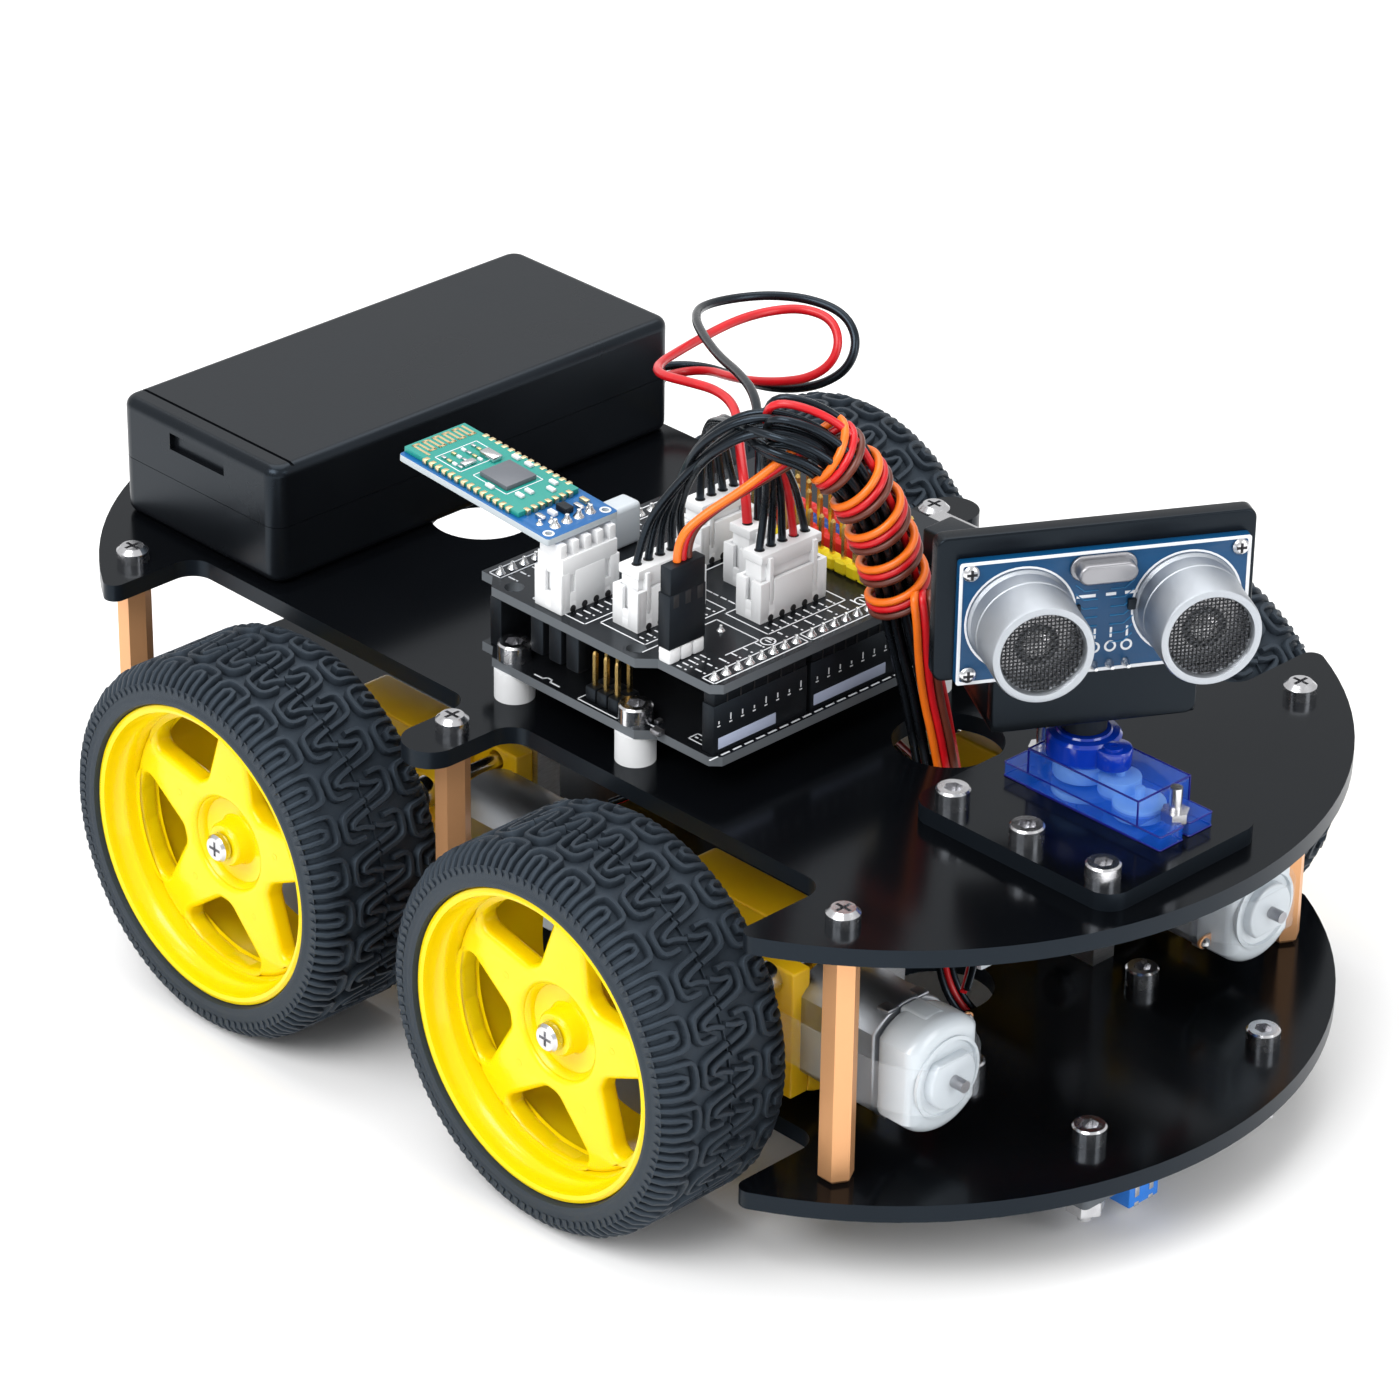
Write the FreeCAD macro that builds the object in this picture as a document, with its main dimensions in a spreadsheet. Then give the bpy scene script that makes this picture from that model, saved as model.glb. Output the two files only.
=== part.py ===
import FreeCAD, Part
import math
import os

from FreeCAD import Placement, Rotation, Vector

# Four wheel robot chassis. +X is forward, +Y is the car's left, +Z is up.
# The origin is on the floor under the middle of the car. Millimetres.

doc = FreeCAD.newDocument("robot_chassis")

# ---------------------------------------------------------------- dimensions

DIMENSIONS = [
    ("wheel_radius", 32.5), ("wheel_width", 26.0), ("wheel_inner_y", 52.0), ("tyre_bore", 26.0),
    ("axle_height", 32.5), ("front_axle_x", 40.6), ("rear_axle_x", -38.4),
    ("plate_thick", 3.0), ("bottom_plate_z", 14.5), ("top_plate_z", 59.5),
    ("end_radius", 74.0), ("end_centre_x", 40.5), ("cutout_y", 46.4), ("cutout_corner", 4.0),
    ("front_cutout_back", 3.1), ("front_cutout_front", 73.1),
    ("rear_cutout_back", -75.5), ("rear_cutout_front", -6.5), ("tab_y", 64.0), ("tip_round", 2.0),
    ("cable_hole_radius", 9.0), ("cable_hole_x", 54.0), ("screw_hole_radius", 1.6),
    ("standoff_flats", 5.0), ("standoff_long", 42.0), ("screw_radius", 1.2),
    ("screw_head_radius", 2.7), ("screw_head_high", 2.6), ("cap_head_radius", 2.75),
    ("cap_head_high", 3.0), ("nut_flats", 5.5), ("nut_high", 2.4),
    ("gearbox_y", 36.7), ("gearbox_thick", 18.8), ("gearbox_tall", 22.5),
    ("gearbox_back", 11.4), ("gearbox_front", 25.6), ("gearbox_wall", 2.0),
    ("can_radius", 10.0), ("can_flats", 15.0), ("can_start", 23.6), ("can_end", 41.0),
    ("cap_end", 51.0), ("rotor_end", 53.4), ("rotor_radius", 1.0), ("shaft_radius", 2.7),
    ("running_gap", 0.05), ("bracket_thick", 5.0), ("bracket_wide", 12.0), ("bracket_tall", 27.5),
    ("motor_hole_x", 20.6), ("motor_hole_z", 8.75),
    ("box_long", 90.0), ("box_wide", 40.5), ("box_high", 21.4), ("box_wall", 1.5),
    ("box_x", -97.3), ("box_y", -44.0), ("box_seam", 10.6), ("box_corner", 3.0), ("box_edge", 1.8),
    ("cell_radius", 9.0), ("cell_long", 65.0),
    ("board_x", -10.8), ("board_y", 25.9), ("board_thick", 1.6), ("board_z", 67.7),
    ("shield_z", 80.3), ("spacer_radius", 3.3), ("socket_high", 8.5),
    ("servo_x", 82.05), ("servo_plate_z", 62.5), ("servo_bottom_z", 49.6), ("servo_top_z", 72.3),
    ("servo_wide", 11.8), ("servo_back", 76.2), ("servo_front", 98.7), ("servo_wall", 1.0),
    ("ear_back", 71.3), ("ear_front", 103.5), ("ear_thick", 2.5), ("tower_top_z", 76.3),
    ("spline_radius", 2.3), ("sensor_yaw", -30.3), ("sensor_z", 100.3), ("sensor_long", 45.5),
    ("sensor_tall", 20.5), ("can_outer", 8.0), ("can_deep", 12.0), ("can_pitch", 26.0),
    ("jack_radius", 3.2), ("line_board_z", 7.4), ("bundle_radius", 4.5), ("coil_radius", 6.6),
    ("lead_radius", 0.8), ("branch_radius", 2.2), ("pair_radius", 1.4), ("servo_lead_radius", 1.4),
]

sheet = doc.addObject("Spreadsheet::Sheet", "dims")
for row, (alias, value) in enumerate(DIMENSIONS, start=1):
    sheet.set("A%d" % row, alias)
    sheet.set("B%d" % row, str(value))
    sheet.setAlias("B%d" % row, alias)
doc.recompute()


def dim(alias):
    """The value of one named dimension."""
    return float(getattr(sheet, alias))


SIDES = {"l": 1, "r": -1}
AXLES = {"f": "front_axle_x", "r": "rear_axle_x"}
CORNERS = [(end + side, AXLES[end], SIDES[side]) for end in AXLES for side in SIDES]
TOP = dim("top_plate_z") + dim("plate_thick")
BOTTOM_TOP = dim("bottom_plate_z") + dim("plate_thick")
SERVO_PLATE_TOP = dim("servo_plate_z") + dim("plate_thick")
BOARD_TOP = dim("board_z") + dim("board_thick")
SHIELD_TOP = dim("shield_z") + dim("board_thick")
STANDOFF_PLACES = [(82.0, 52.0), (-1.7, 54.8), (-81.4, 54.8)]
FORWARD = Vector(1, 0, 0)
LEFT = Vector(0, 1, 0)
UP = Vector(0, 0, 1)

subparts = []

# ---------------------------------------------------------------- document helpers


def drive(item, prop, value):
    """Binds a property to a cell or an expression on cells, or sets a plain number."""
    if isinstance(value, str):
        words = value.split()
        cells = ["dims." + word if word[0].isalpha() else word for word in words]
        item.setExpression(prop, " ".join(cells))
    else:
        setattr(item, prop, value)


def keep(item, label):
    """Marks a finished sub-part and gives it its own label."""
    item.Label = label
    subparts.append(item)
    return item


def local(frame, position, rotation=None):
    """A placement given in the local axes of frame."""
    return frame.multiply(Placement(Vector(*position), rotation or Rotation()))


WORLD = Placement()


def box(name, sizes, corner, frame=WORLD):
    item = doc.addObject("Part::Box", name)
    for prop, value in zip(("Length", "Width", "Height"), sizes):
        drive(item, prop, value)
    item.Placement = local(frame, corner)
    return item


def cylinder(name, radius, height, start, axis=UP, frame=WORLD):
    item = doc.addObject("Part::Cylinder", name)
    drive(item, "Radius", radius)
    drive(item, "Height", height)
    item.Placement = local(frame, start, Rotation(UP, axis))
    return item


def hexagon(name, flats, height, start, axis=UP, frame=WORLD):
    item = doc.addObject("Part::Prism", name)
    item.Polygon = 6
    drive(item, "Circumradius", flats + " / 1.7320508")
    drive(item, "Height", height)
    item.Placement = local(frame, start, Rotation(UP, axis))
    return item


def fuse(name, items):
    item = doc.addObject("Part::MultiFuse", name)
    item.Shapes = items
    return item


def cut(name, base, tools):
    item = doc.addObject("Part::Cut", name)
    item.Base = base
    item.Tool = tools[0] if len(tools) == 1 else fuse(name + "_tools", tools)
    return item


def common(name, first, second):
    item = doc.addObject("Part::Common", name)
    item.Base = first
    item.Tool = second
    return item


def group(label, items):
    """Several separate solids in one sub-part."""
    item = doc.addObject("Part::Compound", label)
    item.Links = items
    return keep(item, label)


def shape_part(label, solids):
    """A sub-part made directly from solids that follow free routes or repeat many times."""
    item = doc.addObject("Part::Feature", label)
    item.Shape = solids[0] if len(solids) == 1 else Part.makeCompound(solids)
    item.Placement = Placement()
    return keep(item, label)


def origin_plane(body, role):
    return [item for item in body.Origin.OriginFeatures if item.Role == role][0]


def sketch(body, name, role, curves, lift=0.0):
    item = body.newObject("Sketcher::SketchObject", name)
    item.AttachmentSupport = [(origin_plane(body, role), "")]
    item.MapMode = "FlatFace"
    item.AttachmentOffset = Placement(Vector(0, 0, lift), Rotation())
    for curve in curves:
        item.addGeometry(curve, False)
    return item


def pad(body, name, profile, length):
    item = body.newObject("PartDesign::Pad", name)
    item.Profile = profile
    drive(item, "Length", length)
    profile.Visibility = False
    return item


def pocket(body, name, profile, length=None, reverse=False):
    """Cuts a profile into the body, all the way through when no length is given."""
    doc.recompute()
    before = body.Shape.Volume
    item = body.newObject("PartDesign::Pocket", name)
    item.Profile = profile
    item.Reversed = reverse
    if length is None:
        item.Type = 1
    else:
        drive(item, "Length", length)
    doc.recompute()
    if not body.Shape.Volume < before - 1e-6:
        raise RuntimeError(name + " cuts nothing")
    return item


def revolve(body, name, profile):
    item = body.newObject("PartDesign::Revolution", name)
    item.Profile = profile
    item.ReferenceAxis = (profile, ["V_Axis"])
    item.Angle = 360
    return item


def round_edges(body, name, radius, wanted):
    """Fillets the edges of the body that the test wanted(edge) picks out."""
    doc.recompute()
    tip = body.Tip
    names = ["Edge%d" % n for n, edge in enumerate(tip.Shape.Edges, start=1) if wanted(edge)]
    item = body.newObject("PartDesign::Fillet", name)
    item.Base = (tip, names)
    drive(item, "Radius", radius)
    body.Tip = item
    return item


def circle(x, y, radius):
    return Part.Circle(Vector(x, y, 0), UP, radius)


def polygon(points):
    ends = points[1:] + points[:1]
    return [Part.LineSegment(Vector(*a, 0), Vector(*b, 0)) for a, b in zip(points, ends)]


def rectangle(x0, y0, x1, y1):
    return polygon([(x0, y0), (x1, y0), (x1, y1), (x0, y1)])


def is_upright(edge):
    start, end = edge.firstVertex().Point, edge.lastVertex().Point
    return edge.Curve.TypeId == "Part::GeomLine" and abs(abs((end - start).normalize().z) - 1) < 1e-6


# ---------------------------------------------------------------- plates


def rounded_corner(corner, first, second, radius):
    """The arc of a right-angled corner, between unit directions first and second away from it."""
    centre = corner + (first + second) * radius
    middle = centre - (first + second).normalize() * radius
    return Part.Arc(corner + first * radius, middle, corner + second * radius)


def half_outline(side):
    """One long edge of a plate, from its front tip to its rear tip: two wheel cutouts and a tab."""
    inner, tab, corner = dim("cutout_y"), dim("tab_y"), dim("cutout_corner")
    reach = dim("end_radius")
    front, front_back = dim("front_cutout_front"), dim("front_cutout_back")
    rear, rear_front = dim("rear_cutout_back"), dim("rear_cutout_front")
    front_tip = Vector(front, side * math.sqrt(reach ** 2 - (front - dim("end_centre_x")) ** 2), 0)
    rear_tip = Vector(rear, side * math.sqrt(reach ** 2 - (rear + dim("end_centre_x")) ** 2), 0)
    out = LEFT * side
    tab_radius = (front_back - rear_front) / 2
    tab_base = side * (tab - tab_radius)
    edges = []
    here = front_tip
    for x, turn in ((front, -1), (front_back, 1), (rear_front, -1), (rear, 1)):
        arc = rounded_corner(Vector(x, side * inner, 0), out, FORWARD * turn, corner)
        start, end = (arc.StartPoint, arc.EndPoint) if turn < 0 else (arc.EndPoint, arc.StartPoint)
        if turn < 0 and here is not front_tip:
            left_foot = Vector(front_back, tab_base, 0)
            right_foot = Vector(rear_front, tab_base, 0)
            crown = Vector((front_back + rear_front) / 2, side * tab, 0)
            edges.append(Part.LineSegment(here, left_foot))
            edges.append(Part.Arc(left_foot, crown, right_foot))
            here = right_foot
        edges.append(Part.LineSegment(here, start))
        edges.append(arc)
        here = end
    edges.append(Part.LineSegment(here, rear_tip))
    return edges, front_tip, rear_tip


def plate_outline():
    left, front_left, rear_left = half_outline(1)
    right, front_right, rear_right = half_outline(-1)
    reach = dim("end_centre_x") + dim("end_radius")
    front = Part.Arc(front_right, Vector(reach, 0, 0), front_left)
    rear = Part.Arc(rear_left, Vector(-reach, 0, 0), rear_right)
    return [front] + left + [rear] + right


def is_tip(edge):
    if not is_upright(edge):
        return False
    point = edge.firstVertex().Point
    at_cutout = min(abs(point.x - dim("front_cutout_front")), abs(point.x - dim("rear_cutout_back")))
    return at_cutout < 0.01 and abs(point.y) > dim("tab_y")


def chassis_plate(label, level, holes):
    """A laser-cut acrylic plate with rounded ends, wheel cutouts, middle tabs and its holes."""
    body = doc.addObject("PartDesign::Body", label)
    pad(body, label + "_pad", sketch(body, label + "_outline", "XY_Plane", plate_outline()), "plate_thick")
    round_edges(body, label + "_tips", "tip_round", is_tip)
    hole_sketch = sketch(body, label + "_holes", "XY_Plane", holes)
    pocket(body, label + "_drilling", hole_sketch, reverse=True)
    body.Placement = Placement(Vector(0, 0, dim(level)), Rotation())
    return keep(body, label)


def both_sides(places):
    return [(x, side * y) for x, y in places for side in (1, -1)]


BOARD_HOLES = [(13.97, 2.54), (15.24, 50.8), (66.04, 7.62), (66.04, 35.56)]
LINE_SENSOR_PLACES = [(75.8, 24.5), (101.5, 24.5), (75.8, -16.3), (101.5, -16.3)]
SERVO_PLATE_SCREWS = [(72.1, -18.2), (87.5, -18.2), (103.0, -18.2)]
BOX_SCREWS = [(-77.0, -25.0), (-77.0, 27.0)]
ACCESSORY_X = (-95.0, -65.0)
ACCESSORY_Y = 15.0


def on_board(along, across):
    """A place on the controller board, whose long side runs towards the car's right."""
    return (dim("board_x") + across, dim("board_y") - along)


def bracket_screw_places():
    middle = dim("motor_hole_x")
    y = dim("gearbox_y") - dim("gearbox_thick") / 2 - dim("bracket_thick") / 2
    axles = [dim(AXLES[end]) for end in AXLES]
    return both_sides([(axle + middle + step, y) for axle in axles for step in (-3.5, 3.5)])


def make_plates():
    small = dim("screw_hole_radius")
    standoffs = [circle(x, y, small) for x, y in both_sides(STANDOFF_PLACES)]
    cable = [circle(dim("cable_hole_x"), 0, dim("cable_hole_radius"))]
    brackets = [circle(x, y, small) for x, y in bracket_screw_places()]
    line_sensor = [circle(x, y, small) for x, y in LINE_SENSOR_PLACES]
    accessory = [circle(x, side * ACCESSORY_Y, small) for x in ACCESSORY_X for side in (1, -1)]
    chassis_plate("bottom_plate", "bottom_plate_z", standoffs + cable + brackets + line_sensor + accessory)
    board = [circle(*on_board(*place), small) for place in BOARD_HOLES]
    servo_screws = [circle(x, y, small) for x, y in SERVO_PLATE_SCREWS]
    box_screws = [circle(x, y, small) for x, y in BOX_SCREWS]
    rear_cable = [circle(-dim("cable_hole_x"), -1.0, dim("cable_hole_radius"))]
    fixings = standoffs + board + servo_screws + box_screws
    chassis_plate("top_plate", "top_plate_z", fixings + cable + rear_cable + servo_slot())


def servo_slot():
    gap = 0.2
    half = dim("servo_wide") / 2 + gap
    return rectangle(dim("servo_back") - gap, -half, dim("servo_front") + gap, half)


# ---------------------------------------------------------------- fasteners


def revolved(profile, start, axis=UP):
    """A turned solid from (radius, height) points, standing on start along axis."""
    wire = Part.makePolygon([Vector(r, 0, z) for r, z in profile + profile[:1]])
    solid = Part.Face(wire).revolve(Vector(0, 0, 0), UP, 360)
    solid.Placement = Placement(Vector(*start), Rotation(UP, axis))
    return solid


def hex_solid(flats, height, start, axis=UP, spin=0.0):
    radius = flats / math.sqrt(3)
    angles = [math.radians(60 * step + spin) for step in range(7)]
    wire = Part.makePolygon([Vector(radius * math.cos(a), radius * math.sin(a), 0) for a in angles])
    solid = Part.Face(wire).extrude(Vector(0, 0, height))
    solid.Placement = Placement(Vector(*start), Rotation(UP, axis))
    return solid


def pan_screw(start, axis, length, radius, head_radius, head_high):
    """A pan-head screw: the head stands on start along axis, the shank goes the other way."""
    step = head_high * 0.3
    profile = [(0, -length), (radius, -length), (radius, 0), (head_radius, 0),
               (head_radius, head_high - step), (head_radius - step, head_high), (0, head_high)]
    screw = revolved(profile, start, axis)
    arm, width, deep = head_radius * 1.1, head_radius * 0.22, head_high * 0.5
    for sizes in ((arm, width), (width, arm)):
        corner = Vector(-sizes[0] / 2, -sizes[1] / 2, head_high - deep)
        slot = Part.makeBox(sizes[0], sizes[1], deep, corner)
        slot.Placement = Placement(Vector(*start), Rotation(UP, axis))
        screw = screw.cut(slot)
    return screw


def cap_screw(start, axis, length, radius, head_radius, head_high):
    """A socket cap screw with a hexagonal recess in its head."""
    edge = 0.3
    profile = [(0, -length), (radius, -length), (radius, 0), (head_radius, 0),
               (head_radius, head_high - edge), (head_radius - edge, head_high), (0, head_high)]
    deep = head_high * 0.6
    recess = hex_solid(head_radius * 0.95, deep + 1, (0, 0, head_high - deep))
    screw = revolved(profile, (0, 0, 0)).cut(recess)
    screw.Placement = Placement(Vector(*start), Rotation(UP, axis))
    return screw


def nut(start, axis, bore):
    """A hexagon nut standing on start, with a plain bore."""
    solid = hex_solid(dim("nut_flats"), dim("nut_high"), (0, 0, 0))
    solid = solid.cut(Part.makeCylinder(bore, dim("nut_high")))
    solid.Placement = Placement(Vector(*start), Rotation(UP, axis))
    return solid


def plate_pan_screw(start, axis, length):
    head = dim("screw_head_radius"), dim("screw_head_high")
    return pan_screw(start, axis, length, dim("screw_radius"), *head)


def plate_cap_screw(start, axis, length):
    head = dim("cap_head_radius"), dim("cap_head_high")
    return cap_screw(start, axis, length, dim("screw_radius"), *head)


def make_standoffs():
    """Hexagonal brass pillars between the plates, and the screws into both of their ends."""
    pillars = []
    for number, (x, y) in enumerate(both_sides(STANDOFF_PLACES), start=1):
        start = (x, y, BOTTOM_TOP)
        bar = hexagon("pillar_bar_%d" % number, "standoff_flats", "standoff_long", start)
        bore = cylinder("pillar_bore_%d" % number, "screw_radius", "standoff_long", start)
        pillars.append(cut("pillar_%d" % number, bar, [bore]))
    group("standoffs", pillars)
    grip = dim("plate_thick") + 6.0
    screws = []
    for x, y in both_sides(STANDOFF_PLACES):
        screws.append(plate_pan_screw((x, y, TOP), UP, grip))
        screws.append(plate_pan_screw((x, y, dim("bottom_plate_z")), -UP, grip))
    shape_part("standoff_screws", screws)


# ---------------------------------------------------------------- wheels


def wheel_frame(axle, side):
    """Local Z runs outwards along the axle, from the wheel's inner face."""
    place = Vector(dim(axle), side * dim("wheel_inner_y"), dim("axle_height"))
    return Placement(place, Rotation(UP, LEFT * side))


def tyre_profile():
    """Half section of the tyre as (radius, distance from the inner face)."""
    width, outer, bore = dim("wheel_width"), dim("wheel_radius"), dim("tyre_bore")
    shoulder, bulge = 3.2, 0.9
    return [(bore, bulge), (bore + 1.2, 0), (outer - shoulder, 0), (outer - 0.9, 1.6), (outer, shoulder),
            (outer, width - shoulder), (outer - 0.9, width - 1.6), (outer - shoulder, width),
            (bore + 1.2, width), (bore, width - bulge)]


def rim_profile():
    """Half section of the rim: hub tube, spoke disc, barrel and flared lip."""
    bore = dim("shaft_radius") + dim("running_gap")
    outer = dim("tyre_bore")
    return [(bore, -4), (4.8, -4), (4.8, 15), (23.2, 15), (24.2, 0.9), (outer, 0.9), (outer, 25.1),
            (24.9, 25.1), (22.8, 18.2), (8.2, 18.2), (7.2, 20.5), (1.3, 20.5), (1.3, 8), (bore, 8)]


def spoke_window():
    """One opening between two spokes, narrow at the hub and wide at the barrel."""
    inner, outer = 10.2, 21.4
    half_inner, half_outer = math.radians(7), math.radians(25)
    corners = [(inner, -half_inner), (outer, -half_outer), (outer, half_outer), (inner, half_inner)]
    points = [Vector(r * math.cos(a), r * math.sin(a), 0) for r, a in corners]
    rim_middle = Vector(outer, 0, 0)
    return [Part.LineSegment(points[0], points[1]), Part.Arc(points[1], rim_middle, points[2]),
            Part.LineSegment(points[2], points[3]), Part.LineSegment(points[3], points[0])]


def make_wheel(corner, axle, side):
    frame = wheel_frame(axle, side)
    tyre = doc.addObject("PartDesign::Body", "tyre_" + corner)
    tyre_section = sketch(tyre, "tyre_section_" + corner, "XZ_Plane", polygon(tyre_profile()))
    revolve(tyre, "tyre_turn_" + corner, tyre_section)
    tyre.Placement = frame
    keep(tyre, "tyre_" + corner)
    rim = doc.addObject("PartDesign::Body", "rim_" + corner)
    rim_section = sketch(rim, "rim_section_" + corner, "XZ_Plane", polygon(rim_profile()))
    revolve(rim, "rim_turn_" + corner, rim_section)
    window = sketch(rim, "rim_window_" + corner, "XY_Plane", spoke_window(), lift=22.0)
    opening = pocket(rim, "rim_opening_" + corner, window, 10.0)
    spokes = rim.newObject("PartDesign::PolarPattern", "rim_spokes_" + corner)
    spokes.Originals = [opening]
    spokes.Axis = (window, ["N_Axis"])
    spokes.Angle = 360
    spokes.Occurrences = 5
    rim.Tip = spokes
    rim.Placement = frame
    keep(rim, "rim_" + corner)
    shaft_start = -(dim("wheel_inner_y") - dim("gearbox_y")) - 5.0
    shaft = cylinder("shaft_bar_" + corner, "shaft_radius", 7.5 - shaft_start, (0, 0, shaft_start), UP, frame)
    tapped = cylinder("shaft_tap_" + corner, 1.0, 8.0, (0, 0, 0), UP, frame)
    keep(cut("wheel_shaft_" + corner, shaft, [tapped]), "wheel_shaft_" + corner)
    screw = pan_screw((0, 0, 0), UP, 19.0, 0.95, 2.4, 1.5)
    item = doc.addObject("Part::Feature", "wheel_screw_" + corner)
    item.Shape = screw
    item.Placement = frame.multiply(Placement(Vector(0, 0, 20.5), Rotation()))
    keep(item, "wheel_screw_" + corner)


# ---------------------------------------------------------------- gear motors


def motor_frame(axle, side):
    """Local X runs forwards from the axle, local Y outwards to the wheel."""
    turn = Rotation() if side > 0 else Rotation(FORWARD, 180)
    return Placement(Vector(dim(axle), side * dim("gearbox_y"), dim("axle_height")), turn)


def gearbox_shell(name, frame, outer_half):
    """Half of the gearbox, split along the middle plane: hollow, with the motor's seat and screw holes."""
    half = dim("gearbox_thick") / 2
    tall, wall = dim("gearbox_tall"), dim("gearbox_wall")
    back, front = -dim("gearbox_back"), dim("gearbox_front")
    low = 0.0 if outer_half else -half
    long = "gearbox_back + gearbox_front"
    block = box(name + "_block", (long, "gearbox_thick / 2", "gearbox_tall"), (back, low, -tall / 2), frame)
    nub = box(name + "_nub", (6.0, 2.5, 6.0), (back - 5.0, 0.0 if outer_half else -2.5, -3.0), frame)
    outside = fuse(name + "_outside", [block, nub])
    inside_low = 0.0 if outer_half else -half + wall
    cavity_long = 17.0 - back - wall
    cavity = box(name + "_cavity", (cavity_long, "gearbox_thick / 2 - gearbox_wall", tall - 2 * wall),
                 (back + wall, inside_low, -tall / 2 + wall), frame)
    neck = cylinder(name + "_neck", 5.0, 12.0, (16.5, 0, 0), FORWARD, frame)
    seat = cylinder(name + "_seat", "can_radius", 4.0, (dim("can_start"), 0, 0), FORWARD, frame)
    tools = [cavity, neck, seat]
    through, aside = 20.0, -10.0
    nub_hole_place = (back - 2.6, aside, 0)
    tools.append(cylinder(name + "_nub_hole", 1.5, through, nub_hole_place, LEFT, frame))
    axle_bore = "shaft_radius + running_gap"
    tools.append(cylinder(name + "_axle_hole", axle_bore, through, (0, aside, 0), LEFT, frame))
    for sign in (1, -1):
        bolt_name = name + "_bolt_hole_%d" % (sign + 1)
        place = (dim("motor_hole_x"), aside, sign * dim("motor_hole_z"))
        tools.append(cylinder(bolt_name, "screw_hole_radius", through, place, LEFT, frame))
    return cut(name, outside, tools)


def motor_section(name, start, end, radius, flats, frame):
    """A stretch of the motor: a round bar with two flat sides."""
    bar = cylinder(name + "_bar", radius, end - start, (start, 0, 0), FORWARD, frame)
    tall = 24.0
    slab = box(name + "_slab", (end - start, flats, tall), (start, -flats / 2, -tall / 2), frame)
    return common(name, bar, slab)


def motor_can(name, frame):
    start, end, wall = dim("can_start"), dim("can_end"), 0.7
    radius, flats = dim("can_radius"), dim("can_flats")
    outside = motor_section(name + "_outside", start, end, radius, flats, frame)
    inside = motor_section(name + "_inside", start + wall, end, radius - wall, flats - 2 * wall, frame)
    boss = cylinder(name + "_boss", 3.0, 2.0, (start - 1.9, 0, 0), FORWARD, frame)
    hole = cylinder(name + "_hole", "rotor_radius + running_gap", 6.0, (start - 3.0, 0, 0), FORWARD, frame)
    return cut(name, fuse(name + "_solid", [outside, boss]), [inside, hole])


def motor_end_cap(name, frame):
    """The plastic brush cap: a plug in the can, a round shoulder and a raised bearing boss."""
    start, end, boss_long = dim("can_end"), dim("cap_end"), 2.0
    radius, flats = dim("can_radius") - 0.1, dim("can_flats")
    shoulder = motor_section(name + "_shoulder", start, end - boss_long, radius, flats, frame)
    boss = cylinder(name + "_boss", 5.0, boss_long, (end - boss_long, 0, 0), FORWARD, frame)
    hole = cylinder(name + "_hole", "rotor_radius + running_gap", 14.0, (start - 1.0, 0, 0), FORWARD, frame)
    pocket_tool = cylinder(name + "_pocket", 7.4, 4.0, (start - 0.5, 0, 0), FORWARD, frame)
    return cut(name, fuse(name + "_solid", [shoulder, boss]), [hole, pocket_tool])


STRAP_TALL = 8.0


def motor_strap(name, frame):
    """The clear band that holds the motor in its gearbox, hooked on both sides."""
    thick, tall, start, end = 0.8, STRAP_TALL, 3.0, dim("cap_end") + 0.1
    reach = dim("gearbox_thick") / 2
    arms = []
    for sign in (1, -1):
        side_low = reach if sign > 0 else -reach - thick
        arm_corner = (start, side_low, -tall / 2)
        arms.append(box(name + "_arm_%d" % (sign + 1), (end - start, thick, tall), arm_corner, frame))
    back = box(name + "_back", (thick, 2 * (reach + thick), tall), (end, -reach - thick, -tall / 2), frame)
    hole = cylinder(name + "_hole", 2.0, 4.0, (end - 1.0, 0, 0), FORWARD, frame)
    axle_gap = cylinder(name + "_axle_gap", 6.0, 24.0, (0, -12.0, 0), LEFT, frame)
    return cut(name, fuse(name + "_band", arms + [back]), [hole, axle_gap])


def motor_bracket(name, frame, side):
    """An aluminium block that stands on the bottom plate and holds the gearbox against its face."""
    half_thick = dim("gearbox_thick") / 2
    middle, wide = dim("motor_hole_x"), dim("bracket_wide")
    floor = BOTTOM_TOP - dim("axle_height")
    low = floor if side > 0 else -floor - dim("bracket_tall")
    corner = (middle - wide / 2, -half_thick - dim("bracket_thick"), low)
    block = box(name + "_block", ("bracket_wide", "bracket_thick", "bracket_tall"), corner, frame)
    relief_corner = (middle - wide / 2 - 1.0, -half_thick - 0.95, -STRAP_TALL / 2 - 0.2)
    tools = [box(name + "_strap_relief", (wide + 2.0, 1.5, STRAP_TALL + 0.4), relief_corner, frame)]
    for sign in (1, -1):
        place = (middle, -half_thick - 6.0, sign * dim("motor_hole_z"))
        bolt_name = name + "_bolt_hole_%d" % (sign + 1)
        tools.append(cylinder(bolt_name, "screw_hole_radius", 7.0, place, LEFT, frame))
        tap_z = floor if side > 0 else -floor - 8.0
        place = (middle + sign * 3.5, -half_thick - dim("bracket_thick") / 2, tap_z)
        tools.append(cylinder(name + "_tap_%d" % (sign + 1), "screw_radius", 8.0, place, UP, frame))
    return cut(name, block, tools)


def bracket_fasteners(frame):
    """Two long screws with nuts through the gearbox and its bracket."""
    half_thick = dim("gearbox_thick") / 2
    grip = dim("gearbox_thick") + dim("bracket_thick")
    solids = []
    for sign in (1, -1):
        z = sign * dim("motor_hole_z")
        head = plate_pan_screw((dim("motor_hole_x"), half_thick, z), LEFT, grip + dim("nut_high"))
        ring = nut((dim("motor_hole_x"), -half_thick - dim("bracket_thick"), z), -LEFT, dim("screw_radius"))
        for solid in (head, ring):
            solid.Placement = frame.multiply(solid.Placement)
            solids.append(solid)
    return solids


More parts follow.
